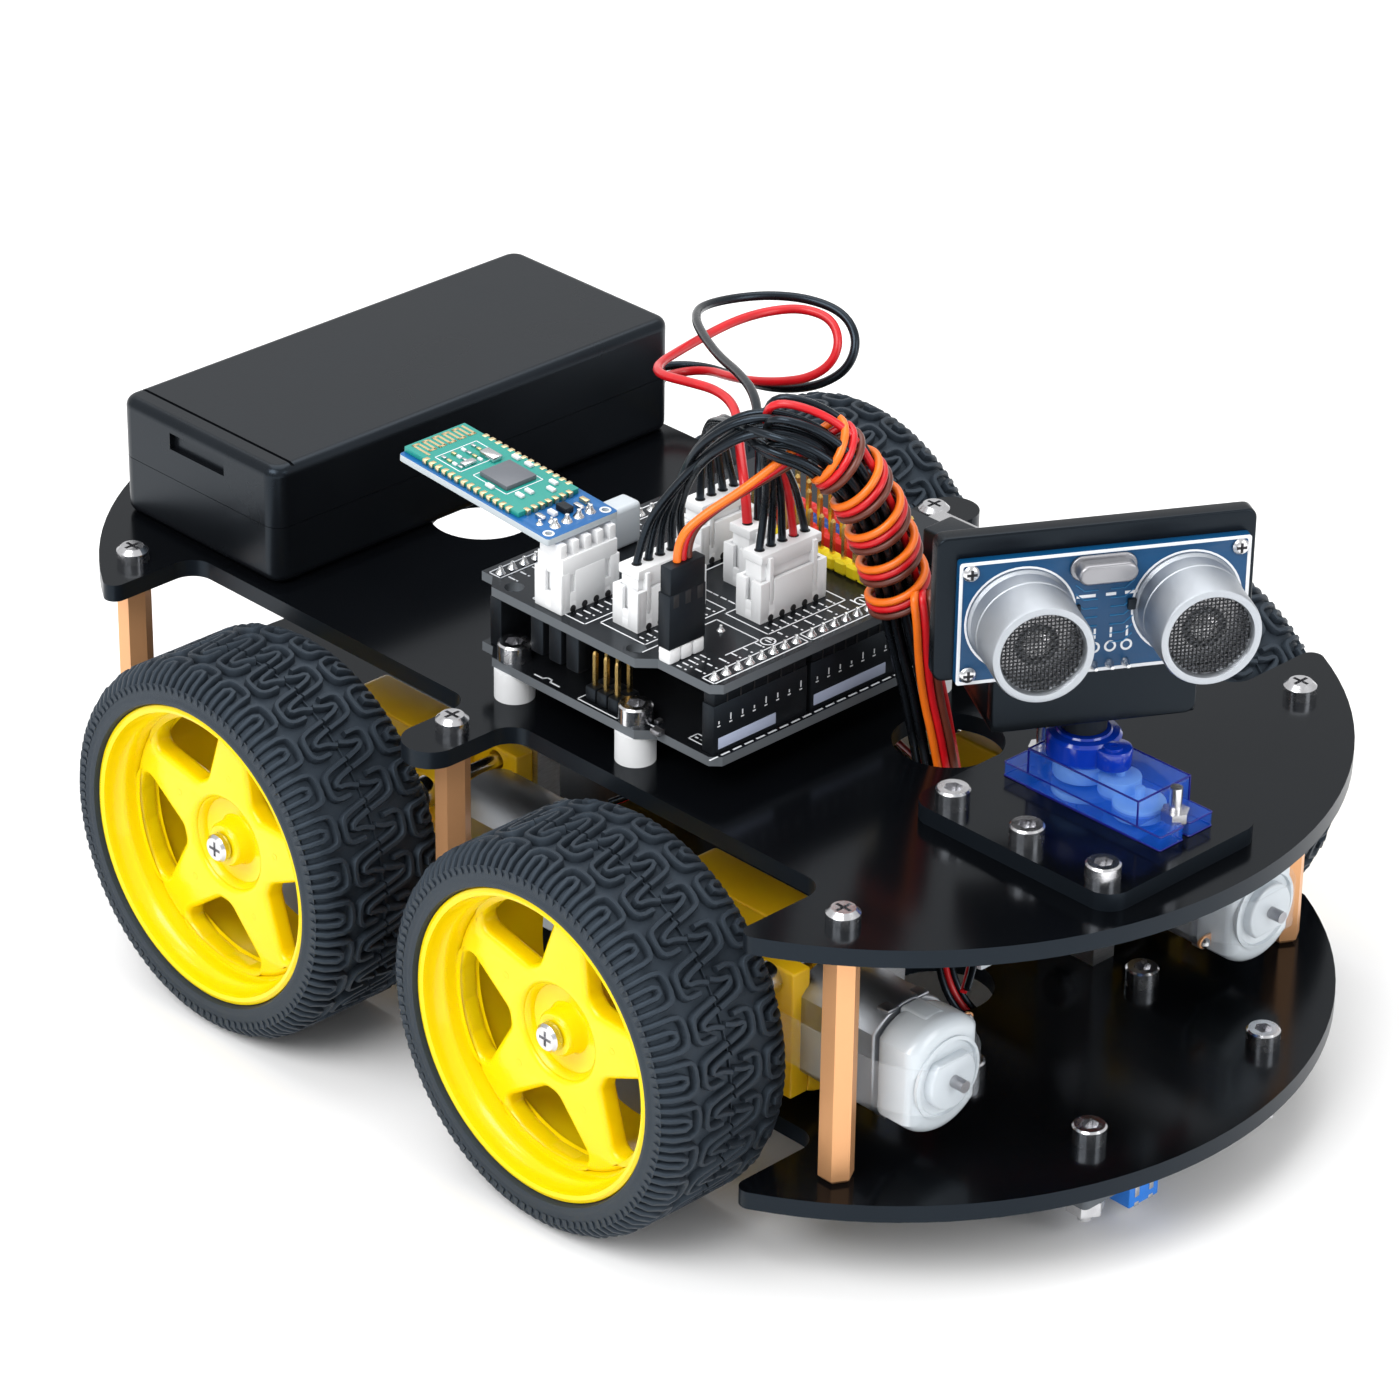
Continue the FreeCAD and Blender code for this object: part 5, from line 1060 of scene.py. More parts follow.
def print_shield(shape):
    """The frames round the pin rows and the parts, with their marks and three ringed points."""
    for along, across, count, shift in SHIELD_ROWS:
        x, y = on_board(along, across)
        frame_line(shape, x - 1.35, y + 1.25, x + 1.35, y - PITCH * (count - 1) - 1.25)
        ticks(shape, (x + shift, y), (0, -PITCH), count, 1.3)
    for corners in SHIELD_FRAMES:
        frame_line(shape, *corners)
    stroke(shape, [(26.4, -40.3), (26.4, -24.4), (35.8, -24.4), (35.8, -31.6)])
    for x, y in ((37.0, -23.6), (37.4, -3.2), (25.4, -3.0)):
        shape.ring(1.3, 1.05, SHIELD_TOP, SHIELD_TOP + 0.06, centre=(x, y))
        stroke(shape, [(x - 0.5, y), (x + 0.5, y)], 0.25)
    for start, step, count, long in SHIELD_TICKS:
        ticks(shape, start, step, count, long)


def print_controller(shape):
    """The dashes along the lower board's front edge and the marks by its right edge."""
    x, y = on_board(0, 52.75)
    for n in range(26):
        stroke(shape, [(x, y - 1.6 - PITCH * n), (x, y - 3.1 - PITCH * n)], 0.3, BOARD_TOP)
    ticks(shape, (24.5, -39.6), (1.5, 0), 4, 0.8, BOARD_TOP)
    frame_line(shape, 34.6, -38.2, 40.2, -36.2, 0.2, BOARD_TOP)
    ticks(shape, (35.2, -37.2), (1.2, 0), 4, 0.6, BOARD_TOP)
    frame_line(shape, 13.6, -42.1, 22.6, -35.8, 0.2, BOARD_TOP)
    zigzag = [(3.2, -41.6), (5.0, -41.6), (5.4, -40.9), (6.4, -40.9), (6.8, -41.6), (8.8, -41.6)]
    stroke(shape, zigzag, 0.25, BOARD_TOP)


def make_board_print():
    """The white lines of both boards."""
    shape = Shape()
    print_shield(shape)
    print_controller(shape)
    on_car("board_printing", shape, [silk_white])


def solder_cone(shape, x, y, level, size=1.0, colour=0):
    """A small peak of solder round a pin."""
    profile = [(0.85, 0), (0.7, 0.2), (0.4, 0.6), (0.3, 1.15), (0, 1.25)]
    shape.lathe([(radius * size, high * size) for radius, high in profile], at(x, y, level), colour, 14)


LOOSE_JOINTS = [(28.2, -37.8), (29.4, -26.4), (37.0, 4.0), (37.0, 8.5), (-3.8, 8.0), (-3.8, 12.0),
                (2.0, 16.0)]


def make_board_solder():
    """The soldered ends of the shield's pins, and a few joints beside them."""
    shape = Shape()
    for along, across, count, _ in SHIELD_ROWS:
        for n in range(count):
            solder_cone(shape, *on_board(along + PITCH * n, across), SHIELD_TOP)
    for x, y in LOOSE_JOINTS:
        solder_cone(shape, x, y, SHIELD_TOP, 0.8)
    on_car("board_solder", shape, [solder])


# The black sockets: their start and end along the board, and their near and far sides across it.
HEADERS = [(18.8, 44.2, 49.5, 52.1), (45.0, 65.3, 49.5, 52.1), (27.4, 47.7, 1.3, 3.9), (50.3, 65.5, 1.3, 3.9)]


def make_headers():
    """The black sockets between the boards, with blank label plates and marks on their front face."""
    shape = Shape()
    face = 41.3
    step, under = BOARD_TOP + 8.5, SHIELD_TOP - 1.6
    for start, end, near, far in HEADERS:
        x0, y1 = on_board(start, near)
        x1, y0 = on_board(end, far)
        shape.block((x0, y0, BOARD_TOP), (x1, y1, step), 0.15)
        shape.block((x0 + 0.1, y0 + 0.2, step), (x1 - 0.1, y1 - 0.2, under), 0.1)
        count = int((end - start) / PITCH)
        # Thin dark lines in the gaps between the socket's cells: painted shade.
        for n in range(1, count):
            y = y1 - (y1 - y0) * n / count
            shape.block((x1 - 0.15, y - 0.12, step - 0.05), (x1 + 0.02, y + 0.12, under), 0, colour=1)
    for y0, y1 in ((-38.4, -26.0), (-17.6, -1.6)):
        shape.block((face - 0.02, y0, BOARD_TOP + 0.8), (face + 0.12, y1, BOARD_TOP + 2.7), 0.05, colour=2)
    for y0, count in ((-38.4, 8), (-17.0, 9)):
        for n in range(count):
            y, low = y0 + PITCH * n, BOARD_TOP + 5.2
            long = 0.5 + 0.3 * ((n * 5) % 3)
            shape.block((face - 0.02, y, low), (face + 0.05, y + 0.22, low + long), 0, colour=3)
            shape.block((face - 0.02, y - 0.2, low - 0.5), (face + 0.05, y + 0.4, low - 0.3), 0, colour=3)
    looks = [parts_black, hole_shade_black, label_grey, silk_white]
    on_car("board_headers", shape, looks, ["controller_parts"])


def make_usb_port(inside):
    """A folded metal shell with a white tongue inside it."""
    shell = Shape()
    x0, y0, x1, y1 = BOARD_X + 31.6, BOARD_Y - 10.0, BOARD_X + 43.6, BOARD_Y + 6.2
    low, high = BOARD_TOP, BOARD_TOP + 10.6
    place = at(0, (y0 + y1) / 2, 0) @ turned(90, "X")
    outer = rounded(rect(x0, low, x1, high), 0.5)
    inner = rounded(rect(x0 + 0.6, low + 0.6, x1 - 0.6, high - 0.6), 0.4)
    half = (y1 - y0) / 2
    shell.prism([outer, inner], -half, half, 0.12, place)
    shell.block((x0 + 0.5, y0, low + 0.5), (x1 - 0.5, y0 + 0.6, high - 0.5), 0.1)
    on_car("usb_port_shell", shell, [steel], ["controller_parts"])
    inside.block((x0 + 2.9, y0 + 1.0, low + 3.0), (x1 - 2.9, y1 - 1.6, high - 3.4), 0.3, colour=1)


def power_jack(shape):
    """A moulded block with a round mouth and a pin in it."""
    spin = at(BOARD_X + 9.95, BOARD_Y + 1.8, BOARD_TOP + 5.5) @ turned(-90, "X")
    low = (BOARD_X + 5.5, BOARD_Y - 11.4, BOARD_TOP)
    shape.block(low, (BOARD_X + 14.4, BOARD_Y - 7.3, BOARD_TOP + 10.6), 0.5)
    flange = rounded(rect(-4.45, -5.1, 4.45, 5.5), 0.6)
    shape.prism([flange, ring_outline(3.2)], -9.2, 0.0, 0.3, spin)
    shape.rod(1.0, -8.8, -1.2, 0.3, spin, colour=2)


def square_chip(shape, along, across, size):
    """A flat chip with six legs on each of two sides."""
    x0, y1 = on_board(along, across)
    x1, y0 = on_board(along + size, across + size)
    legs = BOARD_TOP + 0.4
    shape.block((x0, y0, BOARD_TOP), (x1, y1, BOARD_TOP + 1.0), 0.2)
    for n in range(6):
        y = y0 + 0.7 + n * (y1 - y0 - 1.4) / 5
        shape.block((x0 - 0.9, y - 0.15, BOARD_TOP), (x0 + 0.1, y + 0.15, legs), 0, colour=2)
        shape.block((x1 - 0.1, y - 0.15, BOARD_TOP), (x1 + 0.9, y + 0.15, legs), 0, colour=2)


def programming_pins():
    """The six places of the pins by the board's far end."""
    return [on_board(along, 26.4 + PITCH * n) for along in (63.5, 66.04) for n in range(3)]


def make_controller_parts():
    """What stands on the controller board: port, power socket, chips, pin base and small parts."""
    shape = Shape()
    make_usb_port(shape)
    power_jack(shape)
    square_chip(shape, 37.0, 19.0, 7.0)
    square_chip(shape, 19.0, 36.0, 5.0)
    for x, y in programming_pins():
        shape.block((x - 1.2, y - 1.2, BOARD_TOP), (x + 1.2, y + 1.2, BOARD_TOP + 2.5), 0.4)
    for x0, y0, x1, y1, high in ((24.6, -41.2, 26.6, -40.2, 0.8), (29.4, -41.6, 31.4, -40.2, 0.9),
                                 (27.4, -38.8, 28.4, -37.6, 0.6)):
        shape.block((x0, y0, BOARD_TOP), (x1, y1, BOARD_TOP + high), 0.15, colour=2)
    for x in (1.4, 5.6, 9.6):
        shape.block((x, -41.0, BOARD_TOP + 3.4), (x + 3.0, -38.4, SHIELD_TOP - 1.6), 0.4)
    looks = [parts_black, nylon_white, dark_steel]
    on_car("board_small_parts", shape, looks, ["controller_parts"])


# The shield's wire plugs: corner, width and length, height above the socket, and wires.
CONNECTORS = {
    "line_sensor": ((15.9, -36.9), (5.7, 14.9), 3.4, 5),
    "motor": ((26.9, -20.8), (5.5, 14.6), 4.4, 5),
    "rear_motor": ((6.4, -14.0), (5.7, 12.4), 3.4, 4),
    "power": ((17.6, -14.5), (5.7, 7.4), 3.4, 2),
}
SOCKET_HIGH = 7.0
WIRE_PITCH = 2.5


def wire_socket(shape, x, y, wide, long, pins):
    """A white shrouded socket: a base, walls with latch slots, and dark discs along its foot: painted shade
    in its holes.
    """
    low, floor, high, wall = SHIELD_TOP, SHIELD_TOP + 1.8, SHIELD_TOP + SOCKET_HIGH, 0.75
    shape.block((x + 0.04, y + 0.04, low), (x + wide - 0.04, y + long - 0.04, floor), 0.12)
    shape.block((x + 0.04, y + 0.04, low + 0.55), (x + wall, y + long - 0.04, high - 0.03), 0.12)
    gaps = [(x, x + wide / 2 - 0.6), (x + wide / 2 + 0.6, x + wide)]
    for x0, x1 in gaps:
        for y0 in (y, y + long - wall):
            shape.block((x0, y0, low + 0.5), (x1, y0 + wall, high), 0.12)
    for y0 in (y, y + long - wall):
        shape.block((x + 0.5, y0 + 0.06, low + 0.45), (x + wide - 0.5, y0 + wall - 0.06, low + 3.2), 0.1)
    slots = [y, y + 2.0, y + 3.0, y + long - 3.0, y + long - 2.0, y + long]
    for y0, y1 in zip(slots[::2], slots[1::2]):
        shape.block((x + wide - wall, y0 + 0.04, low + 0.55), (x + wide - 0.03, y1 - 0.04, high - 0.03), 0.12)
    shape.block((x + wide - wall, y + 1.8, low + 0.45), (x + wide - 0.06, y + long - 1.8, low + 3.4), 0.1)
    # Dark discs where the holes are: painted shade.
    for n in range(pins):
        middle = y + long / 2 + (n - (pins - 1) / 2) * WIRE_PITCH
        place = at(x + wide - 0.55, middle, low + 0.55) @ turned(90, "Y")
        shape.rod(0.6, 0, 0.58, 0.02, place, colour=1, steps=16)


def wire_plug(shape, x, y, wide, long, high, pins):
    """The plug in a socket: a body with latch ridges, a lip round its top and a dark disc at each wire's
    hole: painted shade.
    """
    low, top = SHIELD_TOP + 1.6, SHIELD_TOP + SOCKET_HIGH + high
    shape.block((x + 1.0, y + 1.0, low), (x + wide - 1.0, y + long - 1.0, top - 0.4), 0.15)
    shape.block((x + 0.55, y + 0.7, top - 1.6), (x + wide - 0.55, y + long - 0.7, top), 0.2)
    shape.block((x + 0.5, y + 2.1, top - 2.6), (x + wide - 0.5, y + long - 2.1, top - 0.35), 0.2)
    for y0 in (y + 2.05, y + long - 2.95):
        shape.block((x + wide - 1.2, y0, low + 1.0), (x + wide - 0.05, y0 + 0.9, top - 0.6), 0.15)
    # A dark disc at each wire's hole: painted shade.
    for n in range(pins):
        middle = y + long / 2 + (n - (pins - 1) / 2) * WIRE_PITCH
        shape.rod(0.85, top - 0.3, top + 0.03, 0.02, at(x + wide / 2, middle, 0), colour=1, steps=16)


def covered_plug(sockets, plugs):
    """The plug in the shield's corner, closed by a cap with five teeth."""
    x, y, wide, long = 3.0, -41.5, 6.2, 12.5
    low = SHIELD_TOP
    wire_socket(sockets, x, y, wide, long, 4)
    plugs.block((x + 0.9, y + 0.9, low + 1.6), (x + wide - 0.6, y + long - 0.9, low + 8.6), 0.15)
    plugs.block((x + 0.3, y + 0.35, low + 6.4), (x + wide - 0.1, y + long - 0.35, low + 9.6), 0.2)
    for n in range(5):
        middle = y + long / 2 + (n - 2) * 2.6
        plugs.block((x + 0.8, middle - 0.7, low + 9.2), (x + wide - 0.5, middle + 0.7, low + 11.9), 0.2)


# The corner of the three pins that take the servo's plug.
SERVO_PINS = (29.9, -40.5)


def make_connectors():
    """The white sockets and the plugs in them."""
    sockets, plugs = Shape(), Shape()
    for (x, y), (wide, long), high, pins in CONNECTORS.values():
        wire_socket(sockets, x, y, wide, long, pins)
        wire_plug(plugs, x, y, wide, long, high, pins)
    covered_plug(sockets, plugs)
    x, y = SERVO_PINS
    for n in range(3):
        low = (x, y + PITCH * n + 0.05, SHIELD_TOP)
        sockets.block(low, (x + 2.6, y + PITCH * (n + 1) - 0.05, SHIELD_TOP + 2.6), 0.4)
    looks = [nylon_white, hole_shade_black]
    on_car("shield_wire_sockets", sockets, looks, ["shield_sockets"])
    on_car("shield_wire_plugs", plugs, looks, ["wire_plugs"])
    spare = Shape()
    spare.block((-5.4, -20.6, SHIELD_TOP), (-1.0, -14.4, SHIELD_TOP + 7.4), 0.9, steps=4)
    on_car("shield_spare_socket", spare, [cap_white], ["shield_sockets"])


def make_black_plugs():
    """The servo's plug on its three pins, and a small block by the shield's front left corner."""
    shape = Shape()
    x, y = SERVO_PINS
    low = SHIELD_TOP + 2.6
    shape.block((x, y - 0.05, low), (x + 2.6, y + 7.65, low + 9.4), 0.15)
    shape.block((x + 0.25, y + 0.1, low + 9.2), (x + 2.6, y + 7.5, low + 14.0), 0.2)
    # Dark slits in the plug's side: painted shade.
    for n in range(3):
        y0 = y + PITCH * n + 0.75
        shape.block((x + 2.4, y0, low + 7.0), (x + 2.62, y0 + 1.2, low + 9.2), 0.05, colour=1)
    shape.block((34.3, 13.4, SHIELD_TOP), (40.7, 20.0, SHIELD_TOP + 6.1), 0.5, steps=3)
    on_car("black_wire_plugs", shape, [parts_black, hole_shade_black], ["wire_plugs"])


PIN_HIGH = 7.5
# Each row of pins: its place across the car, its pins, and its base's look.
PIN_ROWS = [(1.6, 12, 0), (6.4, 11, 1), (8.9, 11, 2), (11.5, 11, 1)]


def header_pin(shape, x, y, level):
    """A square pin with a pointed end."""
    top = level + PIN_HIGH
    shape.block((x - 0.32, y - 0.32, level), (x + 0.32, y + 0.32, top - 0.5), 0)
    shape.lathe([(0.45, -0.5), (0.22, 0), (0, 0)], at(x, y, top) @ turned(45, "Z"), steps=4)


def make_pin_headers():
    """The coloured rows of pins on the shield, and the programming pins on the lower board."""
    bases, pins = Shape(), Shape()
    for y, count, colour in PIN_ROWS:
        for n in range(count):
            x = 8.2 + PITCH * n
            low, high = (x - 1.25, y - 1.2, SHIELD_TOP), (x + 1.25, y + 1.2, SHIELD_TOP + 2.5)
            bases.block(low, high, 0.42, colour=colour, steps=1)
            header_pin(pins, x, y, SHIELD_TOP + 1.0)
    for x, y in programming_pins():
        header_pin(pins, x, y, BOARD_TOP + 1.0)
    looks = [pins_yellow, pins_red, pins_blue]
    on_car("pin_header_bases", bases, looks, ["pin_headers"])
    on_car("pin_header_pins", pins, [gold], ["pin_headers"], sharp=20.0)


# The radio board is drawn flat, its corner at the origin: the tops of its two sheets, and its place.
CARRIER_TOP = 1.2
MODULE_TOP = 2.1
RADIO_PLACE = at(7.8, -43.1, 94.1) @ turned(4, "Y")
RADIO_HOLES = [(-1.5, 1.5), (-1.5, 13.6)]


def make_radio_sheets():
    """A blue carrier under a green module."""
    carrier = Shape()
    holes = [ring_outline(0.55, hole) for hole in RADIO_HOLES]
    carrier.prism([rounded(rect(-35.0, 0, 0, 15.1), 0.6)] + holes, 0, CARRIER_TOP, 0.1)
    on_car("radio_carrier", carrier, [radio_blue], ["radio_board"], RADIO_PLACE)
    module = Shape()
    module.prism([rounded(rect(-35.0, 1.1, -8.0, 14.0), 0.2)], CARRIER_TOP, MODULE_TOP, 0.08)
    on_car("radio_module", module, [board_green], ["radio_board"], RADIO_PLACE)


def make_radio_plating():
    """The module's plated edges and its winding aerial track."""
    shape = Shape()
    high = MODULE_TOP + 0.05
    for n in range(14):
        for y in (1.25, 13.85):
            x = -29.8 + 1.5 * n
            shape.block((x - 0.42, y - 0.55, CARRIER_TOP), (x + 0.42, y + 0.55, high), 0.1)
    for n in range(7):
        y = 3.0 + 1.5 * n
        shape.block((-8.7, y - 0.42, CARRIER_TOP), (-7.6, y + 0.42, high), 0.1)
    aerial = [(-30.6, 2.4), (-34.2, 2.4)]
    for n in range(5):
        y = 2.4 + 2.1 * n
        aerial += [(-34.2, y + 1.05), (-31.4, y + 1.05), (-31.4, y + 2.1), (-34.2, y + 2.1)]
    stroke(shape, aerial, 0.5, MODULE_TOP)
    on_car("radio_plating", shape, [pale_gold], (), RADIO_PLACE)


def make_radio_chips():
    """The chips and small parts of the module and its carrier."""
    shape = Shape()
    level = MODULE_TOP
    shape.block((-20.6, 4.2, level), (-14.2, 10.6, level + 0.85), 0.15)
    shape.block((-25.6, 8.6, level), (-22.2, 10.6, level + 0.9), 0.2, colour=1)
    shape.block((-25.0, 4.0, level), (-23.8, 6.6, level + 0.6), 0.12, colour=1)
    for n in range(16):
        x, y = -28.6 + (n % 4) * 1.3, 3.2 + (n // 4) * 2.1
        shape.block((x, y, level), (x + 0.9, y + 0.5, level + 0.4), 0.06, colour=1 + n % 3)
    for x, y in ((-12.6, 4.4), (-12.6, 6.4), (-11.0, 9.6), (-12.4, 11.4), (-22.0, 12.2), (-19.0, 12.2),
                 (-17.6, 2.6)):
        shape.block((x, y, level), (x + 1.6, y + 0.8, level + 0.5), 0.1, colour=3)
    for x, y in ((-6.6, 3.2), (-6.4, 5.6), (-5.4, 10.2), (-6.2, 12.2)):
        shape.block((x, y, CARRIER_TOP), (x + 1.7, y + 0.9, 1.9), 0.12, colour=1 + int(x * 10) % 3)
    shape.block((-6.4, 7.4, CARRIER_TOP), (-4.0, 9.2, 2.3), 0.2, colour=4)
    looks = [chip_grey, steel, pale_gold, silk_white, parts_black]
    on_car("radio_chips", shape, looks, ["radio_board"], RADIO_PLACE)


def make_radio_marks():
    """White lines and soldered joints on the radio board."""
    shape = Shape()
    for hole in RADIO_HOLES:
        shape.ring(0.95, 0.6, CARRIER_TOP, CARRIER_TOP + 0.07, centre=hole)
    frame_line(shape, -21.3, 3.5, -13.5, 11.3, 0.16, MODULE_TOP)
    frame_line(shape, -29.3, 2.6, -23.3, 11.4, 0.16, MODULE_TOP)
    for n in range(4):
        solder_cone(shape, -2.6, 3.9 + 2.5 * n, CARRIER_TOP, 1.1, 1)
    for x, y in ((-4.6, 2.4), (-4.0, 4.4), (-3.6, 12.0)):
        solder_cone(shape, x, y, CARRIER_TOP, 0.7, 1)
    on_car("radio_solder", shape, [silk_white, solder], (), RADIO_PLACE)


def make_line_sensor():
    """The small board under the front: three black eyes, a blue trimmer, a white socket."""
    low, top = 7.4, 9.0
    board = Shape()
    holes = [ring_outline(1.6, (x, y)) for x in (75.8, 101.5) for y in (24.5, -16.3)]
    board.prism([rounded(rect(72.6, -19.9, 104.6, 28.1), 1.0)] + holes, low, top, 0.1)
    on_car("line_board_sheet", board, [pcb_black], ["line_sensor_board"])
    parts = Shape()
    for y in (-14.0, -0.9, 12.2):
        parts.block((93.0, y, low - 3.0), (98.0, y + 10.0, low), 0.4)
        for dy in (2.8, 7.2):
            parts.rod(1.7, low - 3.05, low - 2.4, 0.2, at(95.5, y + dy, 0), colour=1, steps=24)
    parts.block((75.0, -2.0, top), (80.7, 10.4, top + 5.2), 0.3, colour=2)
    parts.block((97.8, -9.5, low - 4.3), (104.6, -2.7, low), 0.25, colour=3)
    parts.rod(2.6, low - 4.75, low - 4.0, 0.2, at(101.2, -6.1, 0), colour=2)
    for y in (-8.3, -5.0):
        parts.block((104.5, y, low - 2.6), (104.72, y + 1.0, low + 0.3), 0.05, colour=4)
        parts.block((104.2, y, low - 4.35), (104.68, y + 1.0, low - 3.6), 0.05, colour=4)
    looks = [parts_black, cap_white, nylon_white, trimmer_blue, steel]
    on_car("line_board_parts", parts, looks, ["line_sensor_board"])


make_board_print()
make_board_solder()
make_headers()
make_controller_parts()
make_connectors()
make_black_plugs()
make_pin_headers()
make_radio_sheets()
make_radio_plating()
make_radio_chips()
make_radio_marks()
make_line_sensor()

# ---------------------------------------------------------------- wires


def metres(points):
    """A route drawn in millimetres, in Blender's metres."""
    return [tuple(value * MM for value in point) for point in points]


# The bundle of wires that rises from the shield, arches forward and drops through the cable hole.
HARNESS_ROUTE = metres([
    (25, -29, 104), (28, -28.5, 113), (35, -24, 119), (42, -17.5, 116.5), (46.5, -12.5, 107.5),
    (48, -8, 95), (48.3, -4, 81), (50.5, -1.5, 68), (52.5, 0, 54),
])
# The battery's two leads: up from the lid, in a loose loop over the shield and down into the power plug.
BATTERY_RED = metres([
    (-62.5, 46.2, 69.5), (-62.3, 50.2, 69.6), (-59.7, 53.6, 70.3), (-55.2, 54.3, 71.5),
    (-49.5, 52, 73.3), (-41, 49.7, 76), (-32.8, 48.6, 79), (-26.4, 49, 81.8), (-22.7, 50.6, 85.2),
    (-22.6, 52.4, 89), (-26, 53.6, 91.8), (-31, 51.6, 92.6), (-34.3, 46.8, 92.4), (-35, 39.8, 92.6),
    (-33.4, 31, 93), (-30.5, 22, 94), (-27, 13.5, 95.3), (-21, 8.3, 97.3), (-12.5, 6.6, 99.5),
    (-4, 5, 101.5), (4, 1.2, 102.6), (10.2, -4.3, 102.2), (15.8, -9, 100.6), (19.6, -11.8, 97.6),
    (20.4, -12.05, 92.5),
])
BATTERY_BLACK = metres([
    (-66.5, 46.2, 69.5), (-66.4, 51.2, 69.4), (-63.6, 55.8, 69.4), (-58.4, 57.7, 69.8), (-51, 56, 71.2),
    (-41.5, 52.4, 74), (-32.5, 50.9, 77), (-25.3, 51.1, 80.3), (-20.9, 53, 84.3), (-21.3, 55.4, 88.8),
    (-25.6, 56.5, 91.9), (-31.5, 54.4, 93.2), (-36.6, 49.6, 93.8), (-39.6, 42.6, 94.2),
    (-38.8, 34.8, 95.4), (-33, 28, 97.2), (-24, 21.5, 98.8), (-13.5, 15, 100.7), (-3.5, 9.4, 103.2),
    (6, 3.4, 105), (12.8, -2.3, 104.4), (17.8, -6.9, 101.6), (20.2, -9.4, 97.4), (20.4, -9.55, 92.5),
])
WIRE_WIDE = 1.3 * MM
LEAD_WIDE = 1.6 * MM


def nurbs(name, points, diameter):
    """A smooth round curve drawn towards its control points."""
    curve = bpy.data.curves.new(name, "CURVE")
    curve.dimensions = "3D"
    curve.bevel_depth = diameter / 2
    curve.bevel_resolution = 3
    curve.resolution_u = 8
    curve.use_fill_caps = True
    spline = curve.splines.new("NURBS")
    spline.points.add(len(points) - 1)
    for target, point in zip(spline.points, points):
        target.co = (*point, 1.0)
    spline.order_u = 3
    spline.use_endpoint_u = True
    item = bpy.data.objects.new(name, curve)
    bpy.context.scene.collection.objects.link(item)
    return item


def line_of(points):
    """The smooth line of a route's spline, as close points."""
    item = nurbs("route", points, 0.0)
    item.data.resolution_u = 12
    bpy.context.view_layer.update()
    data = bpy.data.meshes.new_from_object(item.evaluated_get(bpy.context.evaluated_depsgraph_get()))
    result = [v.co.copy() for v in data.vertices]
    bpy.data.meshes.remove(data)
    bpy.data.objects.remove(item)
    return result


def length_of(points):
    """The length of a line of points."""
    return sum((b - a).length for a, b in zip(points, points[1:]))


def cord(name, points, diameter, material, slot, node, lay="loose"):
    """One wire: a smooth curve along its route, held at both ends."""
    item = nurbs(name, points, diameter)
    item.data.materials.append(material)
    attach(item, "chassis")
    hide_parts(node)
    length_of(line_of(points))


cord("battery_wire_red", BATTERY_RED, LEAD_WIDE, wire_red, "wire_red", "battery_lead_red")
cord("battery_wire_black", BATTERY_BLACK, LEAD_WIDE, wire_black, "wire_black", "battery_lead_black")

# Where each wire sits in the bundle, in wire widths from its middle.
PACKING = [(0.0, 0.0)]
for ring, count in ((1.25, 6), (2.45, 10)):
    for n in range(count):
        angle = 2 * math.pi * n / count + ring
        PACKING.append((ring * math.cos(angle), ring * math.sin(angle)))

# Each plug's wires: the first one's place, their colours in order, their bends before the bundle as steps
# from the plug in millimetres, and the control point of the bundle at which they join it.
PLUG_WIRES = [
    ("line_sensor", (18.7, -34.4, 92.4), "kkkkk", [(0.2, 0, 5), (2.5, 0, 10.5)], 1),
    ("motor", (29.6, -18.5, 93.4), "kkkrk", [(0.2, -0.5, 6), (2, -3, 12)], 2),
    ("rear_motor", (9.2, -11.5, 92.4), "kkkk", [(0.2, -1, 6), (4, -5, 14), (12, -12, 21.5)], 2),
]
# How far the wires of a plug draw together at each bend, and how much looser the bundle is where they join.
GATHER = 0.25
LOOSE = 1.6
WIRE_LOOKS = {"k": (wire_black, "wire_black"), "r": (wire_red, "wire_red")}


def make_harness():
    """The wires from the shield's plugs, which gather into one bundle."""
    spots = frames_along([Vector(point) for point in HARNESS_ROUTE])
    step = Vector((0, WIRE_PITCH * MM, 0))
    total = 0
    for plug, start, colours, bends, join in PLUG_WIRES:
        for n, colour in enumerate(colours):
            first = Vector([value * MM for value in start]) + step * n
            aside = (n - (len(colours) - 1) / 2) * step
            route = [first]
            for order, bend in enumerate(metres(bends), start=1):
                route.append(first + Vector(bend) - aside * (order * GATHER))
            a, b = PACKING[total]
            for order, (point, across, up) in enumerate(spots[join:]):
                spread = WIRE_WIDE * (LOOSE if order < 2 else 1)
                route.append(point + (across * a + up * b) * spread)
            name = "harness_%s_%d" % (plug, n + 1)
            cord(name, route, WIRE_WIDE, *WIRE_LOOKS[colour], "wire_harness")
            total += 1


make_harness()

# The servo's three wires are wound round the bundle between two shares of its length.
COIL_TURNS = 5
COIL_STEPS = 16
COIL_RADIUS = 4.9 * MM
COIL_BLEND = 4.5 * MM
COIL_START, COIL_END = 0.315, 0.66
COIL_ANGLE = 2.3
LEAD_TRIO = [("orange", wire_orange), ("red", wire_red), ("brown", wire_brown)]
SERVO_LEAD_START = metres([
    (31.2, -36.7, 98.6), (31.2, -36.7, 102.5), (33, -33, 106), (36, -27, 109.5),
])
SERVO_LEAD_END = metres([
    (54.4, -8, 92), (55.2, -7.6, 86.5), (55, -6.8, 80), (55, -5.4, 72.5), (56.4, -4.2, 65),
    (57.6, -3.4, 57.5),
])


